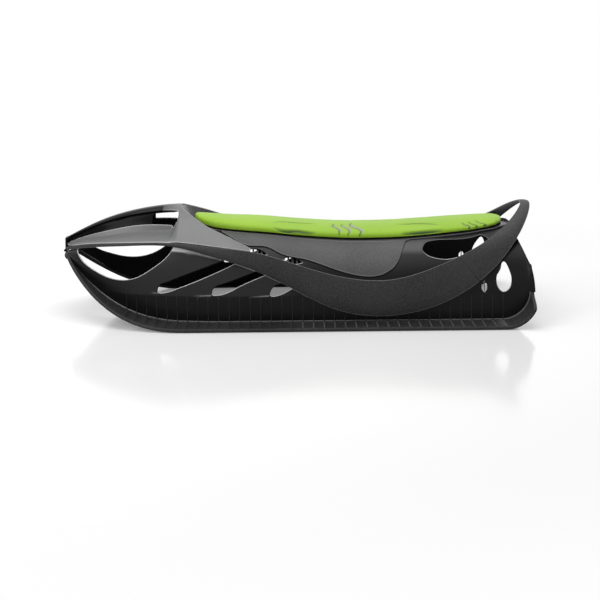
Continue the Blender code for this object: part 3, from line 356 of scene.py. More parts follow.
def mirrored(side, points, faces):
    """The left side's points and faces, or their mirror image for the right side."""
    if side == LEFT:
        return points, faces
    return points * (1, -1, 1), [group[:, ::-1] for group in faces]


def masked(mesh, label, values):
    """The mesh with a value per point, for its material."""
    layer = mesh.attributes.new(label, "FLOAT", "POINT")
    layer.data.foreach_set("value", np.asarray(values, np.float32).ravel())
    return mesh


def finished(name, mesh, finish, slot, *stands_for):
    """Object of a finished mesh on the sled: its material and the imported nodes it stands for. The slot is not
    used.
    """
    made = bpy.data.objects.new(name, mesh)
    scene.collection.objects.link(made)
    mesh.materials.append(finish)
    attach(made, "root")
    if stands_for:
        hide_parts(*stands_for)
    return made


def swept_section(path, section):
    """Points of a section carried along a sole path: section gives (half width, height) arrays per row."""
    x, z, angle = path
    half, height = section
    return np.stack(np.broadcast_arrays(x - np.sin(angle) * height, -half, z + np.cos(angle) * height), axis=-1)


RUNNER_LIP = [(-0.0035, 0.0015), (-0.0012, 0.0013), (-0.0003, 0.0025), (0.0, 0.0046), (-0.0006, 0.0070),
              (-0.0018, 0.0086), (-0.0036, 0.0092), (-0.0058, 0.0088), (-0.0085, 0.0083)]
RUNNER_BEAD = [(0.0085, 0.0083), (0.0062, 0.0086), (0.0054, 0.0102), (0.0042, 0.0114), (0.0028, 0.0116),
               (0.0014, 0.0108), (0.0004, 0.0090)]
LIP_REACH = 0.022

ribs = RIB_START_X + RIB_STEP * np.arange(RIB_COUNT)
beside_rib = (ribs[:, None] + np.array([-0.0021, -0.0011, 0.0, 0.0011, 0.0021])).ravel()
rows = np.concatenate([np.linspace(SKI_START_X, RIB_START_X - 0.006, 46), beside_rib])
path = sole_path(rows[rows < TAIL_ARC_X - 0.001])
inner, outer = ski_widths(path[0], path[1])
foot = np.minimum(foot_half(path[0]), outer)
reach = np.minimum((outer - foot) / LIP_REACH, 1.0)
lip, bead = np.array(RUNNER_LIP), np.array(RUNNER_BEAD)
lip_half = outer + lip[:, 0] * reach
bead_half = foot + bead[:, 0] * reach
between = np.linspace(0.0, 1.0, 6)[1:-1]
ledge_half = lip_half[:, -1:] * (1 - between) + bead_half[:, :1] * between
ledge_height = np.full((len(outer), 6), lip[-1, 1]) + LEDGE_RIB * rib_share(path[0])
half = np.hstack([inner, outer - SKI_EDGE * reach, lip_half, ledge_half, bead_half, inner])
low = np.full_like(inner, GLIDE_THICKNESS + GAP)
height = np.hstack([low, low, np.broadcast_to(lip[:-1, 1], (len(low), len(lip) - 1)), ledge_height,
                    np.broadcast_to(bead[1:, 1], (len(low), len(bead) - 1)), np.full_like(low, SKI_TOP)])
runner = swept_section(path, (half, height))
# Painted highlights: a light line on the bead along the hull, brighter towards the bow, and light lines on the
# cross ribs from the middle back.
bright = np.zeros_like(half)
bright[:, -5:-2] = 0.5 + 0.5 * (1 - smoothstep(path[0], -0.45, -0.30))
bright[:, len(lip) + 1:-7] = 0.25 * rib_share(path[0]) * (path[0] > 0)
for side, tag in SIDES:
    spots, faces = mirrored(side, runner, tube_faces(*runner.shape[:2]))
    mesh = surface_mesh("%s_runner" % tag, spots, *faces)
    finished("%s_runner" % tag, masked(mesh, "edge", bright), runner_black, "black_plastic", "ski_" + tag)


# Glide strips: a smooth, harder strip under each ski, the face that slides on the snow. It is pressed into the
# ski's underside and ends where the bow and the tail leave the floor.
GLIDE_WIDTH = 0.040
GLIDE_START_X = -0.340
GLIDE_END_Z = 0.012
GLIDE_ROUND = 0.0008

path = sole_path(np.linspace(GLIDE_START_X, TAIL_ARC_X, 80)[:-1])
short = (path[1] < GLIDE_END_Z)[:, 0] | (path[0][:, 0] < 0)
path = [values[short] for values in path]
outer = ski_widths(path[0], path[1])[1] - SKI_EDGE - GAP
half = np.hstack([outer - GLIDE_WIDTH, outer - GLIDE_WIDTH + GLIDE_ROUND, outer - GLIDE_ROUND, outer, outer,
                  outer - GLIDE_WIDTH])
height = np.array([[GLIDE_ROUND, 0.0, 0.0, GLIDE_ROUND, GLIDE_THICKNESS, GLIDE_THICKNESS]])
strip = swept_section(path, (half, height))
for side, tag in SIDES:
    spots, faces = mirrored(side, strip, tube_faces(*strip.shape[:2]))
    mesh = surface_mesh("%s_glide" % tag, spots, *faces)
    finished("%s_glide" % tag, mesh, glide_grey, "glide_plastic", "glide_strip_" + tag)


# Hull: two half shells of black polyethylene, 3 mm thick, that meet under the seat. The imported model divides
# each half in three. Here it is one skin, open at the bow window, the slots, the grilles and the tail holes.
HULL_WALL = 0.003
HULL_START_X = -0.580
CROWN = [(-0.582, 0.1565), (-0.570, 0.1615), (-0.53, 0.177), (-0.48, 0.194), (-0.43, 0.209), (-0.36, 0.223),
         (-0.29, 0.231), (-0.25, 0.221), (-0.196, 0.2103), (-0.112, 0.2053), (0.014, 0.1966), (0.127, 0.191),
         (0.20, 0.191), (0.265, 0.1927), (0.365, 0.2007), (0.44, 0.2077), (0.483, 0.2122), (0.56, 0.2165)]
SQUARENESS = [(-0.6, 4.0), (-0.2, 4.0), (-0.1, 3.6), (0.0, 3.0), (0.15, 2.6), (0.6, 2.6)]
DECK_HALF_GAP = 0.045
DECK_BLEND_X = (-0.270, -0.205)
TAIL_X = 0.5827
TAIL_BOW = 1.65
TAIL_MID_Z = 0.058
TAIL_TURN_SHARE = 0.012
CREASE_INSET = 0.0045
FOOT_RADIUS = TAIL_ARC_RADIUS - SKI_TOP - GAP
FOOT_END_X = TAIL_ARC_X + FOOT_RADIUS * math.sin(TAIL_TURN)
BAND_TOP = [(-0.590, 0.016, 0.164), (-0.514, 0.090, 0.184), (-0.418, 0.140, 0.194), (-0.278, 0.180, 0.198),
            (-0.187, 0.200, 0.190), (-0.103, 0.215, 0.182), (0.007, 0.228, 0.152), (0.120, 0.234, 0.121),
            (0.236, 0.235, 0.115), (0.340, 0.221, 0.142), (0.440, 0.182, 0.181), (0.513, 0.125, 0.219),
            (0.559, 0.068, 0.254), (0.578, 0.0, 0.2695)]
BAND_BOTTOM = [(-0.590, 0.018, 0.157), (-0.514, 0.094, 0.176), (-0.418, 0.143, 0.187), (-0.285, 0.178, 0.188),
               (-0.200, 0.198, 0.168), (-0.120, 0.209, 0.1445), (-0.011, 0.223, 0.0955), (0.110, 0.234, 0.0395),
               (0.237, 0.236, 0.027), (0.354, 0.227, 0.053), (0.4655, 0.208, 0.1185), (0.534, 0.163, 0.184),
               (0.584, 0.085, 0.2475), (0.600, 0.0, 0.2695)]
WINDOW = [(-0.556, 0.240), (-0.553, 0.165), (-0.537, 0.144), (-0.505, 0.124), (-0.465, 0.109), (-0.430, 0.105),
          (-0.390, 0.113), (-0.353, 0.134), (-0.325, 0.154), (-0.303, 0.176), (-0.290, 0.200), (-0.290, 0.240)]
SLOTS = [[(-0.3376, 0.0825), (-0.3340, 0.0945), (-0.3255, 0.1025), (-0.3107, 0.1062), (-0.2845, 0.1181),
          (-0.2062, 0.147), (-0.1734, 0.1574), (-0.148, 0.170), (-0.124, 0.161), (-0.1443, 0.1497),
          (-0.2064, 0.1227), (-0.2535, 0.1031), (-0.2852, 0.0909), (-0.3095, 0.0810), (-0.3310, 0.0770)],
         [(-0.2022, 0.0778), (-0.2000, 0.0892), (-0.1893, 0.0997), (-0.1756, 0.1022), (-0.0961, 0.1306),
          (-0.066, 0.144), (-0.040, 0.134), (-0.0751, 0.1209), (-0.1294, 0.0993), (-0.1526, 0.086),
          (-0.1762, 0.0764), (-0.1965, 0.0748)],
         [(-0.0609, 0.0744), (-0.0588, 0.0857), (-0.0502, 0.0969), (-0.0365, 0.1010), (-0.012, 0.112),
          (0.016, 0.100), (-0.0059, 0.0895), (-0.0291, 0.0765), (-0.0530, 0.0702)]]
GRIP_SLOT = [(0.316, 0.171), (0.322, 0.180), (0.336, 0.185), (0.363, 0.188), (0.450, 0.1955), (0.474, 0.197),
             (0.483, 0.190), (0.477, 0.181), (0.431, 0.164), (0.393, 0.154), (0.368, 0.151), (0.343, 0.154),
             (0.324, 0.161)]
TEARDROP = [(0.511, 0.147), (0.497, 0.129), (0.490, 0.108), (0.494, 0.088), (0.507, 0.077), (0.520, 0.084),
            (0.527, 0.105), (0.522, 0.129)]
TAIL_LENS_AT = (0.4605, 0.0905)
TAIL_LENS_HALF = (0.0072, 0.0140)
TAIL_LENS_BAR = 0.0020
LENS_BAR_ROOT = 0.001
GRILLE_LENSES = [(-0.090, 0.1735), (-0.004, 0.1530)]
GRILLE_LENS_HALF = (0.025, 0.0072)
GRILLE_SLOPE = -0.18
RIM_STEPS = 5
EDGE_STRIP = 0.0010
TAIL_DULL_X = (0.535, 0.545)


def spline(stations):
    """Natural cubic curve through (x, value...) stations, held constant outside them."""
    table = np.array(stations, float)
    at, values = table[:, 0], table[:, 1:]
    count, step = len(at), np.diff(at)
    system, right = np.eye(count), np.zeros_like(values)
    for i in range(1, count - 1):
        system[i, i - 1:i + 2] = step[i - 1], 2 * (step[i - 1] + step[i]), step[i]
        right[i] = 6 * ((values[i + 1] - values[i]) / step[i] - (values[i] - values[i - 1]) / step[i - 1])
    bend = np.linalg.solve(system, right)

    def value(x):
        x = np.clip(np.asarray(x, float), at[0], at[-1])
        i = np.clip(np.searchsorted(at, x) - 1, 0, count - 2)
        width = step[i][..., None]
        after = x[..., None] - at[i][..., None]
        before = width - after
        result = (before ** 3 * bend[i] + after ** 3 * bend[i + 1]) / (6 * width)
        result = result + before * (values[i] / width - bend[i] * width / 6)
        result = result + after * (values[i + 1] / width - bend[i + 1] * width / 6)
        return result[..., 0] if result.shape[-1] == 1 else result

    return value


def straight(stations):
    """Straight lines through (x, value) stations."""
    at, values = zip(*stations)
    return lambda x: np.interp(x, at, values)


def track(stations):
    """Smooth curve in space through stations, by the share of its chord length, square to the middle plane."""
    table = np.array(stations, float)
    table = np.vstack([table, table[-2] * (1, -1, 1)])
    along = np.concatenate([[0.0], np.cumsum(np.linalg.norm(np.diff(table, axis=0), axis=1))])
    return spline(np.column_stack([along / along[-2], table]))


crown = spline(CROWN)
squareness = straight(SQUARENESS)
band_top = track(BAND_TOP)
CREASE_SAMPLES = band_top(np.linspace(0.0, 0.6, 800))


def crease(x):
    """Where the hood turns down into the side band, as (half width, height)."""
    return (np.interp(x, CREASE_SAMPLES[:, 0], CREASE_SAMPLES[:, 1]),
            np.interp(x, CREASE_SAMPLES[:, 0], CREASE_SAMPLES[:, 2]))


def foot_height(x):
    """Foot of the hull wall: it stands on the ski's top face, up the bow and round the tail's arc to its end."""
    bow = sole_height(x) + (SKI_TOP + GAP) * np.sqrt(1 + sole_slope(x) ** 2)
    along = np.clip(x - TAIL_ARC_X, 0.0, FOOT_RADIUS * math.sin(TAIL_TURN))
    return bow + FOOT_RADIUS - np.sqrt(FOOT_RADIUS ** 2 - along ** 2)


def arch(x, turn):
    """Hull section at x: a superellipse from the foot (turn 0) to the crown (turn 1), as (half width, height)."""
    power = 2 / squareness(x)
    angle = np.clip(turn, 0.0, 1.0) * math.pi / 2
    foot = foot_height(x)
    return foot_half(x) * np.cos(angle) ** power, foot + (crown(x) - foot) * np.sin(angle) ** power


def turn_at_width(x, half_width):
    """Turn at which the hull's section has a half width."""
    share = np.clip(half_width / foot_half(x), 0.0, 1.0)
    return np.arccos(share ** (squareness(x) / 2)) * 2 / math.pi


def turn_at_height(x, height):
    """Turn at which the hull's section has a height."""
    foot = foot_height(x)
    share = np.clip((height - foot) / (crown(x) - foot), 0.0, 1.0)
    return np.arcsin(share ** (squareness(x) / 2)) * 2 / math.pi


def stacked(x, y, z):
    """Points from arrays of their coordinates."""
    return np.stack(np.broadcast_arrays(x, y, z), axis=-1)


def arch_points(x, turn):
    """Points of the hull's outer face on the left side."""
    half, z = arch(x, turn)
    return stacked(x, -half, z)


trial = np.linspace(0.0, turn_at_width(0.0, DECK_HALF_GAP), 600)
steps = np.linalg.norm(np.diff(arch_points(0.0, trial), axis=0), axis=-1)
UP_SHARE = np.concatenate([[0.0], np.cumsum(steps) / steps.sum()])
UP_TURN = trial / trial[-1]


def hull_points(along, up):
    """Outer face of the left half: along is the share from bow to tail, up the share of the arch from its foot.

    The tail edge bows backward as a parabola over its height. The top edge follows the hood's crease at the bow
    and the gap between the two half decks behind it.
    """
    turn = np.interp(up, UP_SHARE, UP_TURN)
    tail_z = arch(FOOT_END_X, turn * turn_at_width(FOOT_END_X, DECK_HALF_GAP))[1]
    tail_x = TAIL_X - TAIL_BOW * (tail_z - TAIL_MID_Z) ** 2
    end = FOOT_END_X + (tail_x - FOOT_END_X) * smoothstep(turn, 0.0, TAIL_TURN_SHARE)
    x = HULL_START_X + along * (end - HULL_START_X)
    deck = smoothstep(x, *DECK_BLEND_X)
    top_half = (crease(x)[0] - CREASE_INSET - WALL_SLACK) * (1 - deck) + DECK_HALF_GAP * deck
    return arch_points(x, turn * turn_at_width(x, top_half))


def closed_curve(outline, count=240):
    """Smooth closed curve through an outline, as points: a cubic curve over one round of its chord length."""
    table = np.array(outline, float)
    wound = np.vstack([table[-4:], table, table[:5]])
    along = np.concatenate([[0.0], np.cumsum(np.linalg.norm(np.diff(wound, axis=0), axis=1))])
    curve = spline(np.column_stack([along, wound]))
    return curve(np.linspace(along[4], along[4 + len(table)], count, endpoint=False))


def rounded_corners(outline, rounds=4):
    """Closed outline with every corner cut at a quarter of its edges, several times over."""
    curve = np.array(outline)
    for _ in range(rounds):
        after = np.roll(curve, -1, axis=0)
        curve = np.stack([0.75 * curve + 0.25 * after, 0.25 * curve + 0.75 * after], axis=1).reshape(-1, 2)
    return curve


def open_curve(outline, count=240):
    """Smooth curve through all but the two end points of an outline, which close it with straight lines."""
    table = np.array(outline[1:-1], float)
    along = np.concatenate([[0.0], np.cumsum(np.linalg.norm(np.diff(table, axis=0), axis=1))])
    curve = spline(np.column_stack([along, table]))(np.linspace(0.0, along[-1], count))
    return np.vstack([[outline[0]], curve, [outline[-1]]])


def lens_curve(centre, half_length, half_height, slope=0.0, count=40):
    """Pointed lens of two parabolas whose long axis rises by slope."""
    share = np.linspace(-1.0, 1.0, count)
    x = centre[0] + half_length * share
    middle = centre[1] + slope * half_length * share
    rise = half_height * (1 - share ** 2)
    lower = np.column_stack([x, middle - rise])
    return np.vstack([lower, np.column_stack([x, middle + rise])[-2:0:-1]])


def outside(curve, x, z):
    """Distance of points from a closed curve of straight pieces in the side view, negative inside it."""
    found = np.full(x.shape, 1.0)
    low, high = curve.min(axis=0) - 0.012, curve.max(axis=0) + 0.012
    near = (x > low[0]) & (x < high[0]) & (z > low[1]) & (z < high[1])
    start = curve
    run = np.roll(curve, -1, axis=0) - start
    spot = np.column_stack([x[near], z[near]])[:, None, :] - start
    share = np.clip((spot * run).sum(axis=-1) / (run ** 2).sum(axis=-1), 0.0, 1.0)
    gap = np.linalg.norm(spot - share[..., None] * run, axis=-1).min(axis=1)
    crosses = (spot[..., 1] >= 0) != (spot[..., 1] - run[:, 1] >= 0)
    reach = spot[..., 1] * run[:, 0] / np.where(run[:, 1] == 0, 1.0, run[:, 1])
    inside = (crosses & (spot[..., 0] < reach)).sum(axis=1) % 2 == 1
    found[near] = np.where(inside, -gap, gap)
    return found


def trimmed(along, up, surface, clearance):
    """Points and faces of a surface over a grid, cut off where the clearance falls below zero.

    Where the two ends of a grid edge lie on both sides of the cut, the nearer end slides along the edge onto it.
    A cell keeps its corners that aren't beyond the cut, as a quad or as a triangle.
    """
    rows, columns = along.shape
    value = clearance(along, up, surface(along, up)).ravel()
    s, u = along.ravel(), up.ravel()
    number = np.arange(rows * columns).reshape(rows, columns)
    first = np.concatenate([number[:-1].ravel(), number[:, :-1].ravel()])
    second = np.concatenate([number[1:].ravel(), number[:, 1:].ravel()])
    cut = value[first] * value[second] < 0
    first, second = first[cut], second[cut]
    share = value[first] / (value[first] - value[second])
    late = share > 0.5
    slid, still = np.where(late, second, first), np.where(late, first, second)
    reach = np.where(late, 1 - share, share)
    order = np.argsort(-reach)
    slid, still, reach = slid[order], still[order], reach[order]
    new_s, new_u, kept = s.copy(), u.copy(), value.copy()
    new_s[slid] = s[slid] + (s[still] - s[slid]) * reach
    new_u[slid] = u[slid] + (u[still] - u[slid]) * reach
    kept[slid] = 0.0
    quads = grid_faces(rows, columns)
    beyond = kept[quads] < 0
    whole = quads[beyond.sum(axis=1) == 0]
    part = beyond.sum(axis=1) == 1
    lost = beyond[part].argmax(axis=1)
    turn = (lost[:, None] + np.array([1, 2, 3])) % 4
    corners = np.take_along_axis(quads[part], turn, axis=1)
    shaped = [whole, corners]
    for index, group in enumerate(shaped):
        edge = (kept[group] == 0).all(axis=1)
        middle = new_s[group[edge]].mean(axis=1), new_u[group[edge]].mean(axis=1)
        edge[edge] = clearance(*middle, surface(*middle)) < 0
        shaped[index] = group[~edge]
    used = np.zeros(len(s), bool)
    for group in shaped:
        used[group] = True
    renumber = np.cumsum(used) - 1
    return surface(new_s[used], new_u[used]), [renumber[group] for group in shaped]


def shelled(points, faces, wall, lit, strip, wear_and_highlight, bulge=0.0005):
    """Closed wall from an open surface: the surface, its copy moved inward, and a rounded rim round every edge.

    The rim turns through half a circle from the outer to the inner face and stands proud of the edge by bulge
    times the sine to the power 0.6, after a flat strip if one is asked. Also returns a mask of painted highlight
    on the rim, where it faces up by more than lit and by the share given, and zero elsewhere.
    """
    points = points.reshape(-1, 3)
    normal = np.zeros_like(points)
    edges = []
    for group in faces:
        corner = points[group]
        span = np.cross(corner[:, 2] - corner[:, 0], corner[:, -1] - corner[:, 1])
        for k in range(group.shape[1]):
            np.add.at(normal, group[:, k], span)
            edges.append(np.column_stack([group[:, k], group[:, (k + 1) % group.shape[1]]]))
    normal /= np.maximum(np.linalg.norm(normal, axis=1, keepdims=True), 1e-12)
    edges = np.vstack(edges)
    key = edges[:, 0] * len(points) + edges[:, 1]
    back = edges[:, 1] * len(points) + edges[:, 0]
    border = edges[~np.isin(key, back)]
    run = points[border[:, 1]] - points[border[:, 0]]
    away = np.zeros_like(points)
    for end in (0, 1):
        np.add.at(away, border[:, end], np.cross(run, normal[border[:, end]]))
    away /= np.maximum(np.linalg.norm(away, axis=1, keepdims=True), 1e-12)
    rim = np.unique(border)
    angle = np.linspace(0.0, math.pi, RIM_STEPS + 1)[1:-1]
    reach, depth = strip + bulge * np.sin(angle) ** 0.6, wall * (1 - np.cos(angle)) / 2
    if strip:
        angle = np.append([math.pi / 2] * 2, angle)
        reach, depth = np.append([0.0001, strip], reach), np.append([0.0, 0.0], depth)
    angle, reach, depth = (values[:, None, None] for values in (angle, reach, depth))
    round_points = points[rim] - normal[rim] * depth + away[rim] * reach
    facing = (normal[rim] * np.cos(angle) + away[rim] * np.sin(angle))[..., 2]
    count = len(points)
    wear_and_highlight = np.broadcast_to(np.ravel(wear_and_highlight), (count,))[rim]
    bright = np.concatenate([np.zeros(2 * count), (smoothstep(facing, lit - 0.5, lit) * wear_and_highlight).ravel()])
    if not strip:
        bright[rim] = smoothstep(away[rim, 2], lit - 0.5, lit) * wear_and_highlight
    place = np.zeros(count, int)
    place[rim] = np.arange(len(rim))
    levels = [border]
    for step in range(len(reach)):
        levels.append(2 * count + step * len(rim) + place[border])
    levels.append(border + count)
    sides = [np.column_stack([a[:, 1], a[:, 0], b[:, 0], b[:, 1]]) for a, b in zip(levels, levels[1:])]
    everything = np.vstack([points, points - wall * normal, round_points.reshape(-1, 3)])
    return everything, list(faces) + [group[:, ::-1] + count for group in faces] + sides, bright


def shell_piece(name, side, points, faces, wall, finish, slot, *stands_for, lit=-1.0, glints=0.0, strip=0.0,
                wear_and_highlight=1.0):
    """Finished shell on one side of the sled, from the left side's outer face and the glints on that face. Its
    rims get the painted highlight mask.
    """
    spots, groups, bright = shelled(points, faces, wall, lit, strip, wear_and_highlight)
    bright[:points.size // 3] += glints
    spots, groups = mirrored(side, spots, groups)
    return finished(name, masked(surface_mesh(name, spots, *groups), "edge", bright), finish, slot, *stands_for)


holes = [open_curve(WINDOW), closed_curve(GRIP_SLOT), closed_curve(TEARDROP)]
holes += [rounded_corners(outline) for outline in SLOTS]
holes += [lens_curve(centre, *GRILLE_LENS_HALF, GRILLE_SLOPE) for centre in GRILLE_LENSES]
holes.append(lens_curve(TAIL_LENS_AT[::-1], TAIL_LENS_HALF[1], TAIL_LENS_HALF[0])[:, ::-1])


def hull_clearance(along, up, spots):
    """Distance from the nearest opening, less the strip that every edge gets later."""
    return np.minimum.reduce([outside(curve, spots[..., 0], spots[..., 2]) for curve in holes]) - EDGE_STRIP


HULL_STOPS = [(HULL_START_X, 0.02, 190), (0.02, 0.31, 48), (0.31, 0.446, 42), (0.446, 0.475, 22),
              (0.475, TAIL_X, 46)]
UP_STOPS = [(0.0, 0.14, 13), (0.14, 0.45, 56), (0.45, 0.66, 20), (0.66, 1.0, 14)]
FILLET = [(-0.312, 0.0), (-0.301, 0.0105), (-0.2665, 0.0080), (-0.2417, 0.0055), (-0.2106, 0.0047),
          (-0.180, 0.0037), (0.030, 0.0030), (0.060, 0.0)]
FILLET_BLUR = 0.002
FILLET_TONE = 0.8
LIP_TONE = 0.45
LIP_FADE = (0.0022, 0.0006)


def stops(runs):
    """Rising values through runs of (start, end, count)."""
    parts = [np.linspace(start, end, count + 1)[:-1] for start, end, count in runs]
    return np.concatenate(parts + [[runs[-1][1]]])


LIPS = [[(-0.3535, 0.0795), (-0.337, 0.0770)], [(-0.2505, 0.0735), (-0.2057, 0.0750)],
        [(-0.1126, 0.0700), (-0.0644, 0.0725)]]


def near_line(line, x, y):
    """Distance from a line of straight pieces, and the share along it of the nearest point."""
    line = np.array(line)
    run = np.diff(line, axis=0)
    spot = np.stack([x, y], axis=-1)[..., None, :] - line[:-1]
    share = np.clip((spot * run).sum(axis=-1) / (run ** 2).sum(axis=-1), 0.0, 1.0)
    gap = np.linalg.norm(spot - share[..., None] * run, axis=-1)
    best = gap.argmin(axis=-1)
    along = (best + np.take_along_axis(share, best[..., None], axis=-1)[..., 0]) / len(run)
    return gap.min(axis=-1), along


def wall_tones(spots):
    """Share of the edge grey on the wall: a faint lighter tone above the ribs, and painted highlights as a sheen
    beside the grip slot and light lines on the lips before the slots.
    """
    x, z = spots[:, 0], spots[:, 2]
    upper = 0.030 * smoothstep(z, 0.070, 0.074) * smoothstep(x, -0.50, -0.36) * (1 - smoothstep(x, -0.05, 0.05))
    beside = 0.12 * smoothstep(z, 0.158, 0.172) * smoothstep(x, 0.20, 0.24) * (1 - smoothstep(x, 0.32, 0.38))
    near = [near_line(line, x, z) for line in LIPS]
    lips = [LIP_TONE * along * smoothstep(gap, *LIP_FADE) for gap, along in near]
    return upper + beside + np.maximum.reduce(lips)


def fillet_highlight(spots):
    """Painted highlight: one on the narrow fillet of the wall under the band's lower edge, where it turns out to
    meet the band.
    """
    lower = band_bottom(np.linspace(0.0, 0.6, 800))
    edge = np.interp(spots[:, 0], lower[:, 0], lower[:, 2])
    tall = np.interp(spots[:, 0], *zip(*FILLET))
    start = edge - tall
    shown = (spots[:, 2] < edge + 0.01) * (tall > 0.001)
    return smoothstep(spots[:, 2], start - FILLET_BLUR, start + FILLET_BLUR) * shown


band_bottom = track(BAND_BOTTOM)
along = (stops(HULL_STOPS) - HULL_START_X) / (TAIL_X - HULL_START_X)
along, up = np.meshgrid(along, stops(UP_STOPS), indexing="ij")
half_hull = trimmed(along, up, hull_points, hull_clearance)
# Painted highlights on the hull: the fillet strip and the wall glints, and on the rims where they face up, fading
# out at the tail's end.
glints = fillet_highlight(half_hull[0]) * FILLET_TONE + wall_tones(half_hull[0])
for side, tag in SIDES:
    shell_piece("%s_hull" % tag, side, *half_hull, HULL_WALL, hull_black, "black_plastic",
                *("hull_%s_%s" % (part, tag) for part in ("bow", "middle", "tail")), lit=0.6,
                glints=glints, strip=EDGE_STRIP, wear_and_highlight=1 - smoothstep(half_hull[0][:, 0], *TAIL_DULL_X))

# The thin upright bar in the tail's small lens is part of the wall. Its ends run a millimetre into the wall.
bar_x = TAIL_LENS_AT[0] + TAIL_LENS_BAR * np.linspace(-0.5, 0.5, 5)[:, None]
bar_z = TAIL_LENS_AT[1] + (TAIL_LENS_HALF[1] + LENS_BAR_ROOT) * np.linspace(-1.0, 1.0, 13)[None, :]
bar = arch_points(bar_x, turn_at_height(bar_x, bar_z))
for side, tag in SIDES:
    shell_piece("%s_lens_bar" % tag, side, bar, [grid_faces(*bar.shape[:2])], HULL_WALL, hull_black,
                "black_plastic")


# Wall gussets: thin upright fins moulded on the hull's wall, one above each cross rib of the ski's ledge. Each
# stands a millimetre proud of the wall and flares out at its foot to carry the load into the ledge.
GUSSET_HALF = 0.0008
GUSSET_PROUD = 0.0010
GUSSET_FLARE = 0.0075
GUSSET_FLARE_TALL = 0.018
GUSSET_ROOT = 0.0006
GUSSET_TOPS = [(-0.42, 0.085), (-0.34, 0.085), (-0.32, 0.070), (0.51, 0.070)]


def gussets():
    """Fins as (rib, level, corner) points: proud of the wall by a constant plus a flare that dies away upward.

    The flare is its foot value times (1 - height over the flare's height) squared. The top fades into the wall.
    """
    x = ribs[:, None]
    level = np.array([0.0, 0.06, 0.12, 0.2, 0.32, 0.5, 0.75, 0.92, 1.0])[None, :]
    foot = foot_height(x) - GUSSET_ROOT
    z = foot + (np.interp(x, *zip(*GUSSET_TOPS)) - foot) * level
    wall = arch(x, turn_at_height(x, np.maximum(z, foot_height(x) + 0.001)))[0]
    flare = GUSSET_FLARE * np.clip(1 - (z - foot) / GUSSET_FLARE_TALL, 0.0, 1.0) ** 2
    proud = GUSSET_PROUD * np.sqrt(np.clip((1 - level) / 0.08, 0.0, 1.0)) + flare
    section = np.array([(-1.0, -1.0), (-1.0, 0.55), (-0.5, 1.0), (0.5, 1.0), (1.0, 0.55), (1.0, -1.0)])
    side_x = x[..., None] - section[:, 0] * GUSSET_HALF
    half = wall[..., None] + np.where(section[:, 1] < 0, -GUSSET_ROOT, proud[..., None] * section[:, 1])
    return stacked(side_x, -half, z[..., None])


fins = gussets()
count, levels, around = fins.shape[:3]
step = (np.arange(count) * levels * around)[:, None, None]
fin_faces = [(group[None, :, ::-1] + step).reshape(-1, group.shape[1]) for group in tube_faces(levels, around)]
for side, tag in SIDES:
    spots, faces = mirrored(side, fins.reshape(-1, 3), fin_faces)
    finished("%s_gussets" % tag, surface_mesh("%s_gussets" % tag, spots, *faces), runner_black, "black_plastic")


# Inner fittings: boss rails, cross ribs, spacers, joint plates and the grille plates behind the lens holes are
# small black mouldings. The screws are zinc plated steel and the tow eye's plating is passivated black. Their
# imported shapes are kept.
def dress(names, finish):
    """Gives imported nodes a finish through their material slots."""
    for name in names:
        for slot in nodes[name].material_slots:
            slot.material = finish


INNER = ("boss_rail", "cross_rib", "band_spacer", "loop_plate", "pad_stud")

fitting_black = plastic("fitting_black", (0.012, 0.012, 0.013), (0.020, 0.020, 0.021), (0.40, 0.55), None,
                        0.2, 0.3)
grille_black = plastic("grille_black", (0.010, 0.010, 0.011), (0.016, 0.016, 0.017), (0.35, 0.5), None, 0.1, 0.3)
black_plating = plastic("black_passivate", (0.010, 0.010, 0.011), (0.018, 0.018, 0.020), (0.3, 0.4), None,
                        0.2, 0.3)
dress([n for n in nodes if n.startswith(INNER)], fitting_black)
dress([n for n in nodes if n.startswith("grille")], grille_black)
zinc = bpy.data.materials.new("zinc_plate")
zinc.use_nodes = True
add = node_maker(zinc.node_tree)
shader = zinc.node_tree.nodes["Principled BSDF"]
shader.inputs["Metallic"].default_value = 1.0
spangle = add("ShaderNodeTexVoronoi", Vector=add("ShaderNodeTexCoord").outputs["Object"], Scale=420.0)
tint = add("ShaderNodeMix", {"data_type": "RGBA"}, Factor=spangle.outputs["Distance"])
tint.inputs[6].default_value = (0.60, 0.61, 0.62, 1.0)
tint.inputs[7].default_value = (0.46, 0.47, 0.49, 1.0)
zinc.node_tree.links.new(tint.outputs[2], shader.inputs["Base Color"])
rough = add("ShaderNodeMapRange", Value=spangle.outputs["Distance"], To_Min=0.28, To_Max=0.42)
zinc.node_tree.links.new(rough.outputs[0], shader.inputs["Roughness"])
dress([n for n in nodes if "_screw_" in n], zinc)
dress(["tow_eye"], black_plating)


# Seat tray: a glossy dark tray that lies on the two half decks, follows their crown and reaches behind the pad
# as a short tongue. It is screwed down from below.
TRAY_WALL = 0.0035
LAYER_GAP = 0.0005
CHORD_SLACK = 0.0012
TRAY_PLAN = [(-0.262, 0.0), (-0.252, 0.034), (-0.196, 0.068), (-0.112, 0.089), (0.0, 0.094), (0.365, 0.094),
             (0.44, 0.091), (0.50, 0.080), (0.535, 0.055), (0.552, 0.0)]
PAD_PLAN = [(-0.257, 0.0), (-0.247, 0.030), (-0.196, 0.060), (-0.112, 0.080), (0.0, 0.086), (0.365, 0.086),
            (0.44, 0.084), (0.483, 0.077), (0.505, 0.066), (0.522, 0.044), (0.530, 0.0)]


def rounded(stations):
    """Plan half width through (x, half width) stations, round where it closes: its square is interpolated."""
    at, values = zip(*stations)
    return lambda x: np.sqrt(np.interp(x, at, np.square(values)))


def plan_rows(plan, count):
    """Rows of x along a closed plan, closer together where it rounds off."""
    even = np.linspace(0.0, 1.0, count)
    share = (1 - np.cos(math.pi * even)) / 2
    return plan[0][0] + (plan[-1][0] - plan[0][0]) * (0.6 * share + 0.4 * even)


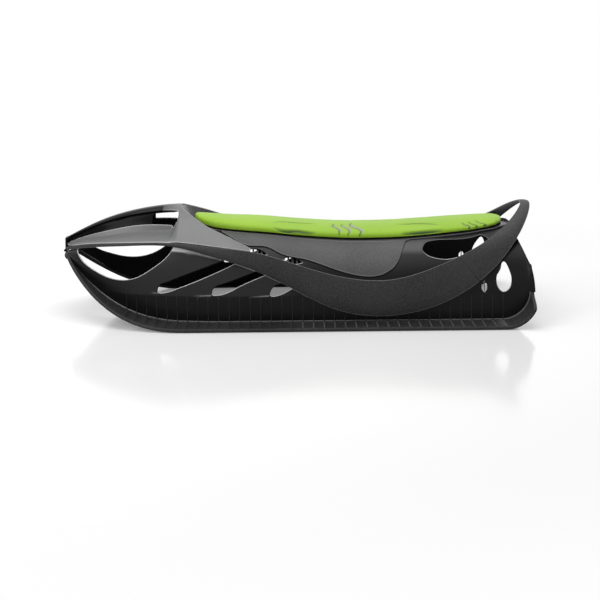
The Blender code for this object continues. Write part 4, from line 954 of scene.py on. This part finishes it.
def both_sides(grid):
    """Grid of the left side whose last column lies on the middle plane, made whole with its mirror image."""
    grid[:, -1, 1] = 0.0
    return np.concatenate([grid, grid[:, -2::-1] * (1, -1, 1)], axis=1)


tray_half = rounded(TRAY_PLAN)
pad_half = rounded(PAD_PLAN)
rows = plan_rows(TRAY_PLAN, 160)[1:-1, None]
half = tray_half(rows) * (1 - np.linspace(0.0, 1.0, 20)[None, :] ** 1.3)
tray = arch_points(rows, turn_at_width(rows, half))
tray[..., 2] += LAYER_GAP + TRAY_WALL
tray = both_sides(tray)
shell_piece("tray", LEFT, tray, [grid_faces(*tray.shape[:2])], TRAY_WALL, tray_dark, "black_plastic", "seat_tray")


# Seat pad: a soft lime green pad of closed-cell foam with a moulded skin, studded to the tray. It has a low
# crown, rolled sides, two long lens-shaped grooves a side and three small chevrons behind each of them.
PAD_THICKNESS = 0.020
PAD_CROWN = 0.003
PAD_EDGE = 0.0045
PAD_POWER = 2.7
PAD_TAPER = [(-0.257, 1.22), (-0.19, 1.18), (-0.05, 1.08), (0.1, 1.0), (0.30, 1.0), (0.42, 0.80), (0.48, 0.62),
             (0.53, 0.50)]
PAD_ROWS = 330
PAD_AROUND = 160
PAD_TIP = 0.0002
GROOVE_LINES = [[(-0.056, 0.056), (-0.039, 0.044), (-0.025, 0.041), (-0.005, 0.042), (0.028, 0.040),
                 (0.057, 0.042)],
                [(-0.055, 0.078), (-0.038, 0.082), (-0.021, 0.084), (0.006, 0.083), (0.033, 0.084),
                 (0.056, 0.084)],
                [(0.252, 0.043), (0.278, 0.045), (0.308, 0.047), (0.331, 0.051), (0.350, 0.058), (0.365, 0.066)],
                [(0.266, 0.0845), (0.320, 0.0850), (0.376, 0.0845)]]
DISHES = [(0.0, 0.066), (0.31, 0.066)]
CHEVRONS = [(0.012, [(0.100, 0.037), (0.109, 0.057), (0.117, 0.065), (0.120, 0.072),
                     (0.118, 0.079), (0.112, 0.084)]),
            (0.012, [(0.121, 0.034), (0.133, 0.054), (0.141, 0.062), (0.145, 0.072),
                     (0.143, 0.079), (0.135, 0.084)]),
            (0.015, [(0.145, 0.023), (0.158, 0.054), (0.169, 0.064), (0.175, 0.076),
                     (0.172, 0.081), (0.164, 0.085)]),
            (0.004, [(0.424, 0.066), (0.433, 0.075), (0.441, 0.079), (0.442, 0.082), (0.437, 0.084)]),
            (0.004, [(0.440, 0.063), (0.450, 0.073), (0.458, 0.077), (0.461, 0.079), (0.455, 0.082)]),
            (0.004, [(0.458, 0.057), (0.468, 0.068), (0.480, 0.074), (0.484, 0.076), (0.476, 0.078)])]


def smooth_line(stations, count=40):
    """Smooth line through plan stations."""
    table = np.array(stations)
    along = np.concatenate([[0.0], np.cumsum(np.linalg.norm(np.diff(table, axis=0), axis=1))])
    return spline(np.column_stack([along, table]))(np.linspace(0.0, along[-1], count))


def pad_surface():
    """Closed pad as rows of rings, with a mask of painted shade in its grooves and along the chevrons' inner
    edges, and a mask of the chevrons' fill.

    Each ring is a superellipse bent over the tray: its upper half rises by the thickness and a crown, its lower
    half is nearly flat. Grooves press in by a bell curve of the distance from their line.
    """
    ends = [PAD_PLAN[0][0] + PAD_TIP, PAD_PLAN[-1][0] - PAD_TIP]
    rows = np.sort(np.append(plan_rows(PAD_PLAN, PAD_ROWS)[1:-1], ends))
    x = rows[:, None]
    angle = np.linspace(0.0, 2 * math.pi, PAD_AROUND, endpoint=False)[None, :]
    share = -np.sign(np.cos(angle)) * abs(np.cos(angle)) ** (2 / PAD_POWER)
    rise = abs(np.sin(angle)) ** (2 / PAD_POWER)
    flat = abs(np.sin(angle)) ** (2 / 7.0)
    half = pad_half(x)
    y = share * half
    end_round = np.sqrt(np.minimum(half / 0.06, 1.0))
    thick = PAD_THICKNESS * np.interp(x, *zip(*PAD_TAPER)) * (0.25 + 0.75 * end_round)
    base = arch(x, turn_at_width(x, abs(y)))[1] + LAYER_GAP + TRAY_WALL + CHORD_SLACK
    above = np.sin(angle) > 0
    z = base + PAD_EDGE + np.where(above, (thick + PAD_CROWN - PAD_EDGE) * rise, -(PAD_EDGE - GAP) * flat)
    flat_x = np.broadcast_to(x, y.shape)
    groove_shade_mask, fill_mask, press = np.zeros_like(y), np.zeros_like(y), np.zeros_like(y)
    for line in GROOVE_LINES:
        gap, along = near_line(smooth_line(line), flat_x, abs(y))
        ends = np.clip(4 * along * (1 - along), 0.0, 1.0) ** 0.5
        groove_shade_mask = np.maximum(groove_shade_mask, np.exp(-(gap / (0.0026 * ends + 0.0002)) ** 2) * ends)
        press = np.maximum(press, 0.0030 * np.exp(-(gap / 0.0030) ** 2) * ends)
    for middle, reach in DISHES:
        dish = np.exp(-((abs(y) - 0.064) / 0.014) ** 2) * np.clip(1 - ((flat_x - middle) / reach) ** 2, 0.0, 1.0)
        press = np.maximum(press, 0.0018 * dish)
    for depth, line in CHEVRONS:
        outer = smooth_line(line)
        inner = outer - depth * np.sin(np.linspace(0.0, math.pi, len(outer)))[:, None] * (1.0, 0.0)
        inside = -outside(np.vstack([outer, inner[-2:0:-1]]), flat_x, abs(y))
        gap, along = near_line(inner, flat_x, abs(y))
        groove_shade_mask = np.maximum(groove_shade_mask, np.exp(-(gap / 0.0016) ** 2))
        fill_mask = np.maximum(fill_mask, smoothstep(inside, 0.0, 0.0010))
        press = np.maximum(press, 0.0008 * smoothstep(inside, -0.0006, 0.0012))
    z = z - press * above
    return stacked(x, y, z), groove_shade_mask * above, fill_mask * above


rings, groove_shade_mask, fill_mask = pad_surface()
tips = np.array([[PAD_PLAN[0][0], 0.0, rings[0, :, 2].mean()], [PAD_PLAN[-1][0], 0.0, rings[-1, :, 2].mean()]])
count = rings.shape[0] * PAD_AROUND
first = np.arange(PAD_AROUND)
front = np.column_stack([first, np.roll(first, -1), np.full(PAD_AROUND, count)])
last = first + count - PAD_AROUND
rear = np.column_stack([np.roll(last, -1), last, np.full(PAD_AROUND, count + 1)])
sides = grid_faces(rings.shape[0], PAD_AROUND, around=True)
mesh = surface_mesh("pad", np.vstack([rings.reshape(-1, 3), tips]), sides, front, rear)
for label, mask in (("groove", groove_shade_mask), ("chevron", fill_mask)):
    masked(mesh, label, np.append(mask.ravel(), [0.0, 0.0]))

foam = bpy.data.materials.new("lime_foam")
foam.use_nodes = True
add = node_maker(foam.node_tree)
shader = foam.node_tree.nodes["Principled BSDF"]
shader.inputs["Specular IOR Level"].default_value = 0.35
shader.inputs["Sheen Weight"].default_value = 0.15
place = add("ShaderNodeTexCoord").outputs["Object"]
skin = add("ShaderNodeGroup", {"node_tree": grain_group}, Position=place, Cells_per_metre=700.0)
# Tones: the foam's two greens, a painted shade for the grooves and the chevrons' inner edges, and the grey of the
# chevrons' fill.
tones = [(0.26, 0.48, 0.012, 1.0), (0.34, 0.58, 0.028, 1.0), (0.014, 0.040, 0.004, 1.0), (0.34, 0.38, 0.26, 1.0)]
colour = add("ShaderNodeMix", {"data_type": "RGBA"}, Factor=skin.outputs["Tone"])
colour.inputs[6].default_value, colour.inputs[7].default_value = tones[:2]
for label, tone in (("chevron", tones[3]), ("groove", tones[2])):
    mask = add("ShaderNodeAttribute", {"attribute_name": label}).outputs["Fac"]
    over = add("ShaderNodeMix", {"data_type": "RGBA"}, Factor=mask)
    over.inputs[7].default_value = tone
    foam.node_tree.links.new(colour.outputs[2], over.inputs[6])
    colour = over
foam.node_tree.links.new(colour.outputs[2], shader.inputs["Base Color"])
rough = add("ShaderNodeMapRange", Value=skin.outputs["Tone"], To_Min=0.50, To_Max=0.64)
foam.node_tree.links.new(rough.outputs[0], shader.inputs["Roughness"])
bump = add("ShaderNodeBump", Height=skin.outputs["Height"], Distance=0.00008, Strength=1.0)
foam.node_tree.links.new(bump.outputs[0], shader.inputs["Normal"])
finished("pad", mesh, foam, "seat_foam", "seat_pad")


# Side skirts: grained grey panels on the hull beside the front of the seat. Each runs from the tray's edge down
# to a swept lower edge and rounds off behind.
SKIRT_WALL = 0.0022
SKIRT_EDGE = [(-0.190, 0.2095), (-0.157, 0.201), (-0.118, 0.187), (-0.065, 0.181), (-0.030, 0.166),
              (0.019, 0.155), (0.094, 0.132), (0.135, 0.120), (0.171, 0.114), (0.205, 0.1155), (0.235, 0.128),
              (0.256, 0.150), (0.268, 0.172), (0.290, 0.190)]


def surface_normals(grid):
    """Unit normals of a grid whose rows run to +X and whose columns run up the left side."""
    cross = np.cross(np.gradient(grid, axis=0), np.gradient(grid, axis=1))
    return cross / np.maximum(np.linalg.norm(cross, axis=-1, keepdims=True), 1e-9)


skirt_edge = spline(SKIRT_EDGE)
rows = np.linspace(SKIRT_EDGE[0][0] + 0.008, SKIRT_EDGE[-1][0] - 0.004, 170)[:, None]
top = turn_at_width(rows, tray_half(rows) + LAYER_GAP + 0.0015)
low = np.minimum(turn_at_height(rows, skirt_edge(rows)), top - 0.004)
skirt = arch_points(rows, low + (top - low) * np.linspace(0.0, 1.0, 30)[None, :])
skirt = skirt + (CHORD_SLACK + SKIRT_WALL) * surface_normals(skirt)
for side, tag in SIDES:
    shell_piece("%s_skirt" % tag, side, skirt, [grid_faces(*skirt.shape[:2])], SKIRT_WALL, skirt_grey,
                "grained_plastic", "side_skirt_" + tag)


# Side bands and rear loop: one grained ribbon on each side, from the nose along the hood's crease, down under
# the seat and up again, where both meet in a hoop behind the seat. A fine seam parts each band from the loop.
BAND_WALL = 0.0035
BAND_BULGE = 0.004
BAND_SEAM = 0.775
BAND_SEAM_GAP = 0.0008


def band_points(start, end, rows, columns=18):
    """Ribbon between its lower and upper edge, bowed outward as a parabola over its width."""
    share = np.linspace(start, end, rows)[:, None, None]
    over = (1 - np.cos(np.linspace(0.0, math.pi, columns)))[None, :, None] / 2
    lower, upper = band_bottom(share[:, :, 0]), band_top(share[:, :, 0])
    grid = lower * (1 - over) + upper * over
    grid[..., 1] *= -1
    width = np.linalg.norm(upper - lower, axis=-1, keepdims=True)
    return grid + BAND_BULGE * np.minimum(width / 0.05, 1.0) * 4 * over * (1 - over) * surface_normals(grid)


def band_highlight(rows, columns=18):
    """Painted highlight on a ribbon's edges: full along the lower one, half along the upper one, none across its
    two ends.
    """
    wear_and_highlight = np.tile(np.linspace(1.0, 0.5, columns), (rows, 1))
    wear_and_highlight[[0, -1]] = 0.0
    return wear_and_highlight


band = band_points(0.0, BAND_SEAM, 240)
for side, tag in SIDES:
    shell_piece("%s_band" % tag, side, band, [grid_faces(*band.shape[:2])], BAND_WALL, band_grey,
                "grained_plastic", "side_band_" + tag, wear_and_highlight=band_highlight(len(band)))
loop = band_points(BAND_SEAM + BAND_SEAM_GAP, 1.0, 70)
loop[-1, :, 1] = 0.0
loop = np.concatenate([loop, loop[-2::-1] * (1, -1, 1)])
shell_piece("loop", LEFT, loop, [grid_faces(*loop.shape[:2])], BAND_WALL, band_grey, "grained_plastic",
            "rear_loop", wear_and_highlight=band_highlight(len(loop)))


# Hood: a satin grey cover from crease to crease with a narrow roof, a ledge and an opening beside the roof for
# each hand, and a swept rear rim. It clips under the side bands.
COVER_WALL = 0.0025
COVER_START_X = -0.5865
HOOD_REAR_X = -0.289
HOOD_END_X = -0.106
RIDGE = [(-0.592, 0.1865), (-0.54, 0.213), (-0.483, 0.237), (-0.383, 0.2625), (-0.333, 0.269), (-0.289, 0.271),
         (-0.265, 0.271), (-0.215, 0.270), (-0.156, 0.2445), (-0.117, 0.229), (-0.095, 0.222)]
RIM = [(-0.289, 0.0), (-0.284, 0.034), (-0.265, 0.070), (-0.215, 0.128), (-0.156, 0.158), (-0.117, 0.186),
       (-0.098, 0.208)]
DOME_SQUARENESS = 1.63
LEDGE = [(-0.592, 0.0095, 0.1715), (-0.552, 0.022, 0.188), (-0.495, 0.038, 0.205), (-0.452, 0.047, 0.215),
         (-0.414, 0.053, 0.2223), (-0.361, 0.059, 0.2265), (-0.291, 0.064, 0.224)]
LEDGE_DROP = [(-0.592, 0.001), (-0.552, 0.005), (-0.495, 0.011), (-0.452, 0.0138), (-0.40, 0.016), (-0.34, 0.015),
              (-0.29, 0.009)]
LEDGE_FLARE = 0.45
ROOF_HALF = [(-0.592, 0.004), (-0.552, 0.012), (-0.489, 0.022), (-0.416, 0.029), (-0.364, 0.032), (-0.312, 0.035),
             (-0.300, 0.042), (-0.292, 0.052)]
ROOF_DROP = 0.29
LEDGE_WIDTH = 0.008
LEDGE_LIP = 0.003
STEP_LEAST = 0.0015
RECESS_X = (-0.579, -0.292)
DOME_BLEND_X = (-0.312, -0.286)
UPPER_ROUND = 0.018
ROOF_FADE_X = (-0.345, -0.290)
ROOF_SATIN = 0.35
LOWER_ROUND = 0.005
LEDGE_AT, ROOF_AT = 2, 4

ridge = spline(RIDGE)
ledge = spline(LEDGE)
ledge_drop = straight(LEDGE_DROP)
roof_half = straight(ROOF_HALF)
rim_half = rounded(RIM)


def hood_height(x, y):
    """Height of the hood over (x, half width): a narrow roof above a ledge in front, one dome at the rear.

    The dome falls from the ridge to the crease as the half width's share to a power. In front the roof is a
    parabola, the step down to the ledge a smooth ramp, and the shoulder below the ledge a gentle power curve.
    """
    side_y, side_z = crease(x)
    top = ridge(x)
    dome = side_z + (top - side_z) * (1 - np.clip(y / side_y, 0, 1) ** DOME_SQUARENESS)
    ledge_y, ledge_z = np.moveaxis(ledge(x), -1, 0)
    roof_y = roof_half(x)
    step_y = np.maximum(ledge_y - LEDGE_WIDTH, roof_y + STEP_LEAST)
    roof_z = top - ROOF_DROP * roof_y * np.clip(y / roof_y, 0, 1) ** 2
    low_z = ledge_z - LEDGE_LIP
    inside = (roof_z + (low_z - roof_z) * smoothstep(y, roof_y, step_y)
              + LEDGE_LIP * smoothstep(y, step_y, ledge_y))
    drop_z = ledge_drop(x)
    shoulder_y, shoulder_z = ledge_y + LEDGE_FLARE * drop_z, ledge_z - drop_z
    face = ledge_z - drop_z * np.clip((y - ledge_y) / (shoulder_y - ledge_y), 0, 1)
    spread = np.clip((y - shoulder_y) / (side_y - shoulder_y), 0, 1)
    front = np.where(y < ledge_y, inside, face + (side_z - shoulder_z) * spread ** 1.2)
    return front + (dome - front) * smoothstep(x, *DOME_BLEND_X)


def hood_half(x, across):
    """Half width at a place across: 0 crease, 1 shoulder, 2 ledge, 3 foot of the step, 4 roof, 5 middle."""
    side_y = crease(x)[0] - CREASE_INSET
    ledge_y = ledge(x)[..., 0]
    shoulder_y = ledge_y + LEDGE_FLARE * ledge_drop(x)
    roof_y = roof_half(x)
    step_y = np.maximum(ledge_y - LEDGE_WIDTH, roof_y + STEP_LEAST)
    keys = np.stack(np.broadcast_arrays(side_y, shoulder_y, ledge_y, step_y, roof_y, 0 * roof_y))
    low = np.clip(np.floor(across).astype(int), 0, 4)
    share = across - low
    front = (np.take_along_axis(keys, low[None], 0)[0] * (1 - share)
             + np.take_along_axis(keys, low[None] + 1, 0)[0] * share)
    inner = np.where(x > HOOD_REAR_X, rim_half(x), 0.0)
    behind = side_y + (inner - side_y) * across / 5
    return front + (behind - front) * smoothstep(x, *DOME_BLEND_X)


def hood_points(x, across):
    """Points of the hood's face on the left side."""
    half = hood_half(x, across)
    return stacked(x, -half, hood_height(x, half))


def opening_clearance(x, height, tall, start, end, upper, lower, both_ends=0):
    """Distance outside an opening from start to end and from 0 to tall, negative inside.

    Its rear corners are rounded, and with both_ends at one its front corners too.
    """
    inside = np.minimum.reduce([end - x, x - start, height, tall - height])
    for radius, rise in ((upper, tall - height), (lower, height)):
        dx, dz = np.maximum(x - (end - radius), (start + radius - x) * both_ends), radius - rise
        corner = (dx > 0) & (dz > 0)
        inside = np.where(corner, radius - np.hypot(dx, dz), inside)
    return -inside


def above_ledge(x, across):
    """Height above the ledge at a place across the hood, and the roof's height above it."""
    tall = hood_points(x, np.full(x.shape, float(ROOF_AT)))[..., 2] - ledge(x)[..., 1]
    return (across - LEDGE_AT) / (ROOF_AT - LEDGE_AT) * tall, tall


def hood_clearance(x, across, spots):
    """Distance from the hood's opening beside the roof."""
    return opening_clearance(x, *above_ledge(x, across), *RECESS_X, UPPER_ROUND, LOWER_ROUND)


front = np.linspace(COVER_START_X, HOOD_REAR_X, 150)
behind = HOOD_REAR_X + (HOOD_END_X - HOOD_REAR_X) * np.linspace(0.0, 1.0, 90)[1:] ** 1.6
across_stops = np.concatenate([np.linspace(0, 1, 26)[:-1], np.linspace(1, 2, 10)[:-1], np.linspace(2, 3, 9)[:-1],
                               np.linspace(3, 4, 22)[:-1], np.linspace(4, 5, 16)])
x, over = np.meshgrid(np.concatenate([front, behind]), across_stops, indexing="ij")
points, faces = trimmed(x, over, hood_points, hood_clearance)


def whole(points, faces):
    """A left side that ends on the middle plane, joined with its mirror image, with the shared points once."""
    middle = np.abs(points[:, 1]) < 1e-6
    number = np.where(middle, np.arange(len(points)), np.cumsum(~middle) - 1 + len(points))
    other = (points * (1, -1, 1))[~middle]
    return np.vstack([points, other]), [group for group in faces] + [number[group][:, ::-1] for group in faces]


points, faces = whole(points, faces)
hood = shell_piece("hood", LEFT, points, faces, COVER_WALL, hood_grey, "hood_plastic", "hood_cover")
spots = np.empty(len(hood.data.vertices) * 3, np.float32)
hood.data.vertices.foreach_get("co", spots)
x, y, z = spots.reshape(-1, 3).T
masked(hood.data, "deep", smoothstep(ledge(x)[:, 0] - abs(y), 0.001, 0.004) * (1 - smoothstep(x, *ROOF_FADE_X)))
middles = np.empty(len(hood.data.polygons) * 3, np.float32)
hood.data.polygons.foreach_get("center", middles)
x, y, z = middles.reshape(-1, 3).T
glossy = (abs(y) > ROOF_SATIN * roof_half(x)) & (abs(y) < ledge(x)[:, 0] - 0.002) & (x < ROOF_FADE_X[0] + 0.010)
hood.data.materials.append(gloss_black)
hood.data.polygons.foreach_set("material_index", glossy.astype(np.int32))


# Hand recesses: a glossy black liner behind each opening of the hood, with the slot through which the rider
# grips the roof. It is clipped in from below.
RECESS_SETBACK = 0.0032
RECESS_WALL = 0.0018
RECESS_LOW = 1.5
RECESS_HANG = 0.4
RECESS_CURTAIN = 0.024
CURTAIN_X = (-0.42, -0.38)
HAND_SLOT_X = (-0.364, -0.292)
HAND_SLOT_SILL = 0.007
HAND_SLOT_ROUND = (0.011, 0.010)


def recess_points(x, across):
    """The hood's face moved inward by its wall and a setback, and a curtain that hangs from its lower edge."""
    step = 0.0004
    hang = np.clip(RECESS_LOW - across, 0.0, 1.0) / RECESS_HANG * RECESS_CURTAIN * smoothstep(x, *CURTAIN_X)
    across = np.maximum(across, RECESS_LOW)
    here = hood_points(x, across)
    along = hood_points(x + step, across) - hood_points(x - step, across)
    over = hood_points(x, np.minimum(across + 0.02, 5.0)) - hood_points(x, across - 0.02)
    normal = np.cross(along, over)
    normal /= np.maximum(np.linalg.norm(normal, axis=-1, keepdims=True), 1e-12)
    return here - (COVER_WALL + RECESS_SETBACK) * normal - stacked(0.0, 0.0, hang)


def slot_clearance(x, across, spots):
    """Distance from the hand slot, which starts a sill above the ledge."""
    height, tall = (value - HAND_SLOT_SILL for value in above_ledge(x, across))
    return opening_clearance(x, height, tall, *HAND_SLOT_X, *HAND_SLOT_ROUND, both_ends=1)


over = np.append(np.linspace(RECESS_LOW - RECESS_HANG, RECESS_LOW, 6)[:-1], np.linspace(RECESS_LOW, 4.35, 60))
x, over = np.meshgrid(np.linspace(-0.5795, -0.2885, 170), over, indexing="ij")
liner = trimmed(x, over, recess_points, slot_clearance)
for side, tag in SIDES:
    shell_piece("%s_recess" % tag, side, *liner, RECESS_WALL, gloss_black, "black_plastic", "hand_recess_" + tag)


# Dash panel: the dark inner panel that drops from behind the hood's swept rim to the deck, round the front of
# the seat.
DASH_X = (-0.2885, -0.200)
DASH_WALL = 0.002

x = DASH_X[0] + (DASH_X[1] - DASH_X[0]) * np.linspace(0.0, 1.0, 60)[:, None] ** 1.8
rim_y = rim_half(x)
top_y = rim_y * 0.97
top_z = hood_height(x, rim_y) - COVER_WALL - 0.002
foot_y = top_y * 0.86
foot_x = x + 0.016 * (1 - smoothstep(x, -0.29, -0.21))
foot_z = np.minimum(arch(foot_x, turn_at_width(foot_x, foot_y))[1] + 0.0035, top_z - 0.004)
share = np.linspace(0.0, 1.0, 16)[None, :]
foot, top = stacked(foot_x, -foot_y, foot_z), stacked(x, -top_y, top_z)
dash = foot + (top - foot) * share[..., None]
dash[0, :, 1] = 0.0
dash = np.concatenate([dash[::-1] * (1, -1, 1), dash[1:]])
dash_faces = [grid_faces(*dash.shape[:2])]
shell_piece("dash", LEFT, dash, dash_faces, DASH_WALL, tray_dark, "black_plastic", "dash_panel")


# Nose cap: a small black cap over the front end of the hood and the hull, its lower lip the sled's foremost
# point. Its face is rounded in plan.
CAP_OUTLINE = [(0.0055, 0.1495), (0.0015, 0.1505), (0.0, 0.153), (0.0015, 0.1555), (0.0045, 0.158),
               (0.0055, 0.1845), (0.0085, 0.188), (0.0125, 0.188), (0.0125, 0.172), (0.0075, 0.170),
               (0.0075, 0.1495)]
CAP_HALF = 0.012

outline = np.array(CAP_OUTLINE)[None, :, :]
y = np.linspace(-CAP_HALF, CAP_HALF, 17)[:, None]
cap = stacked(NOSE_X + outline[..., 0] + 0.0035 * (y / CAP_HALF) ** 4, y, outline[..., 1])
mesh = surface_mesh("cap", cap, *tube_faces(*cap.shape[:2]))
finished("cap", mesh, gloss_black, "black_plastic", "nose_bumper")
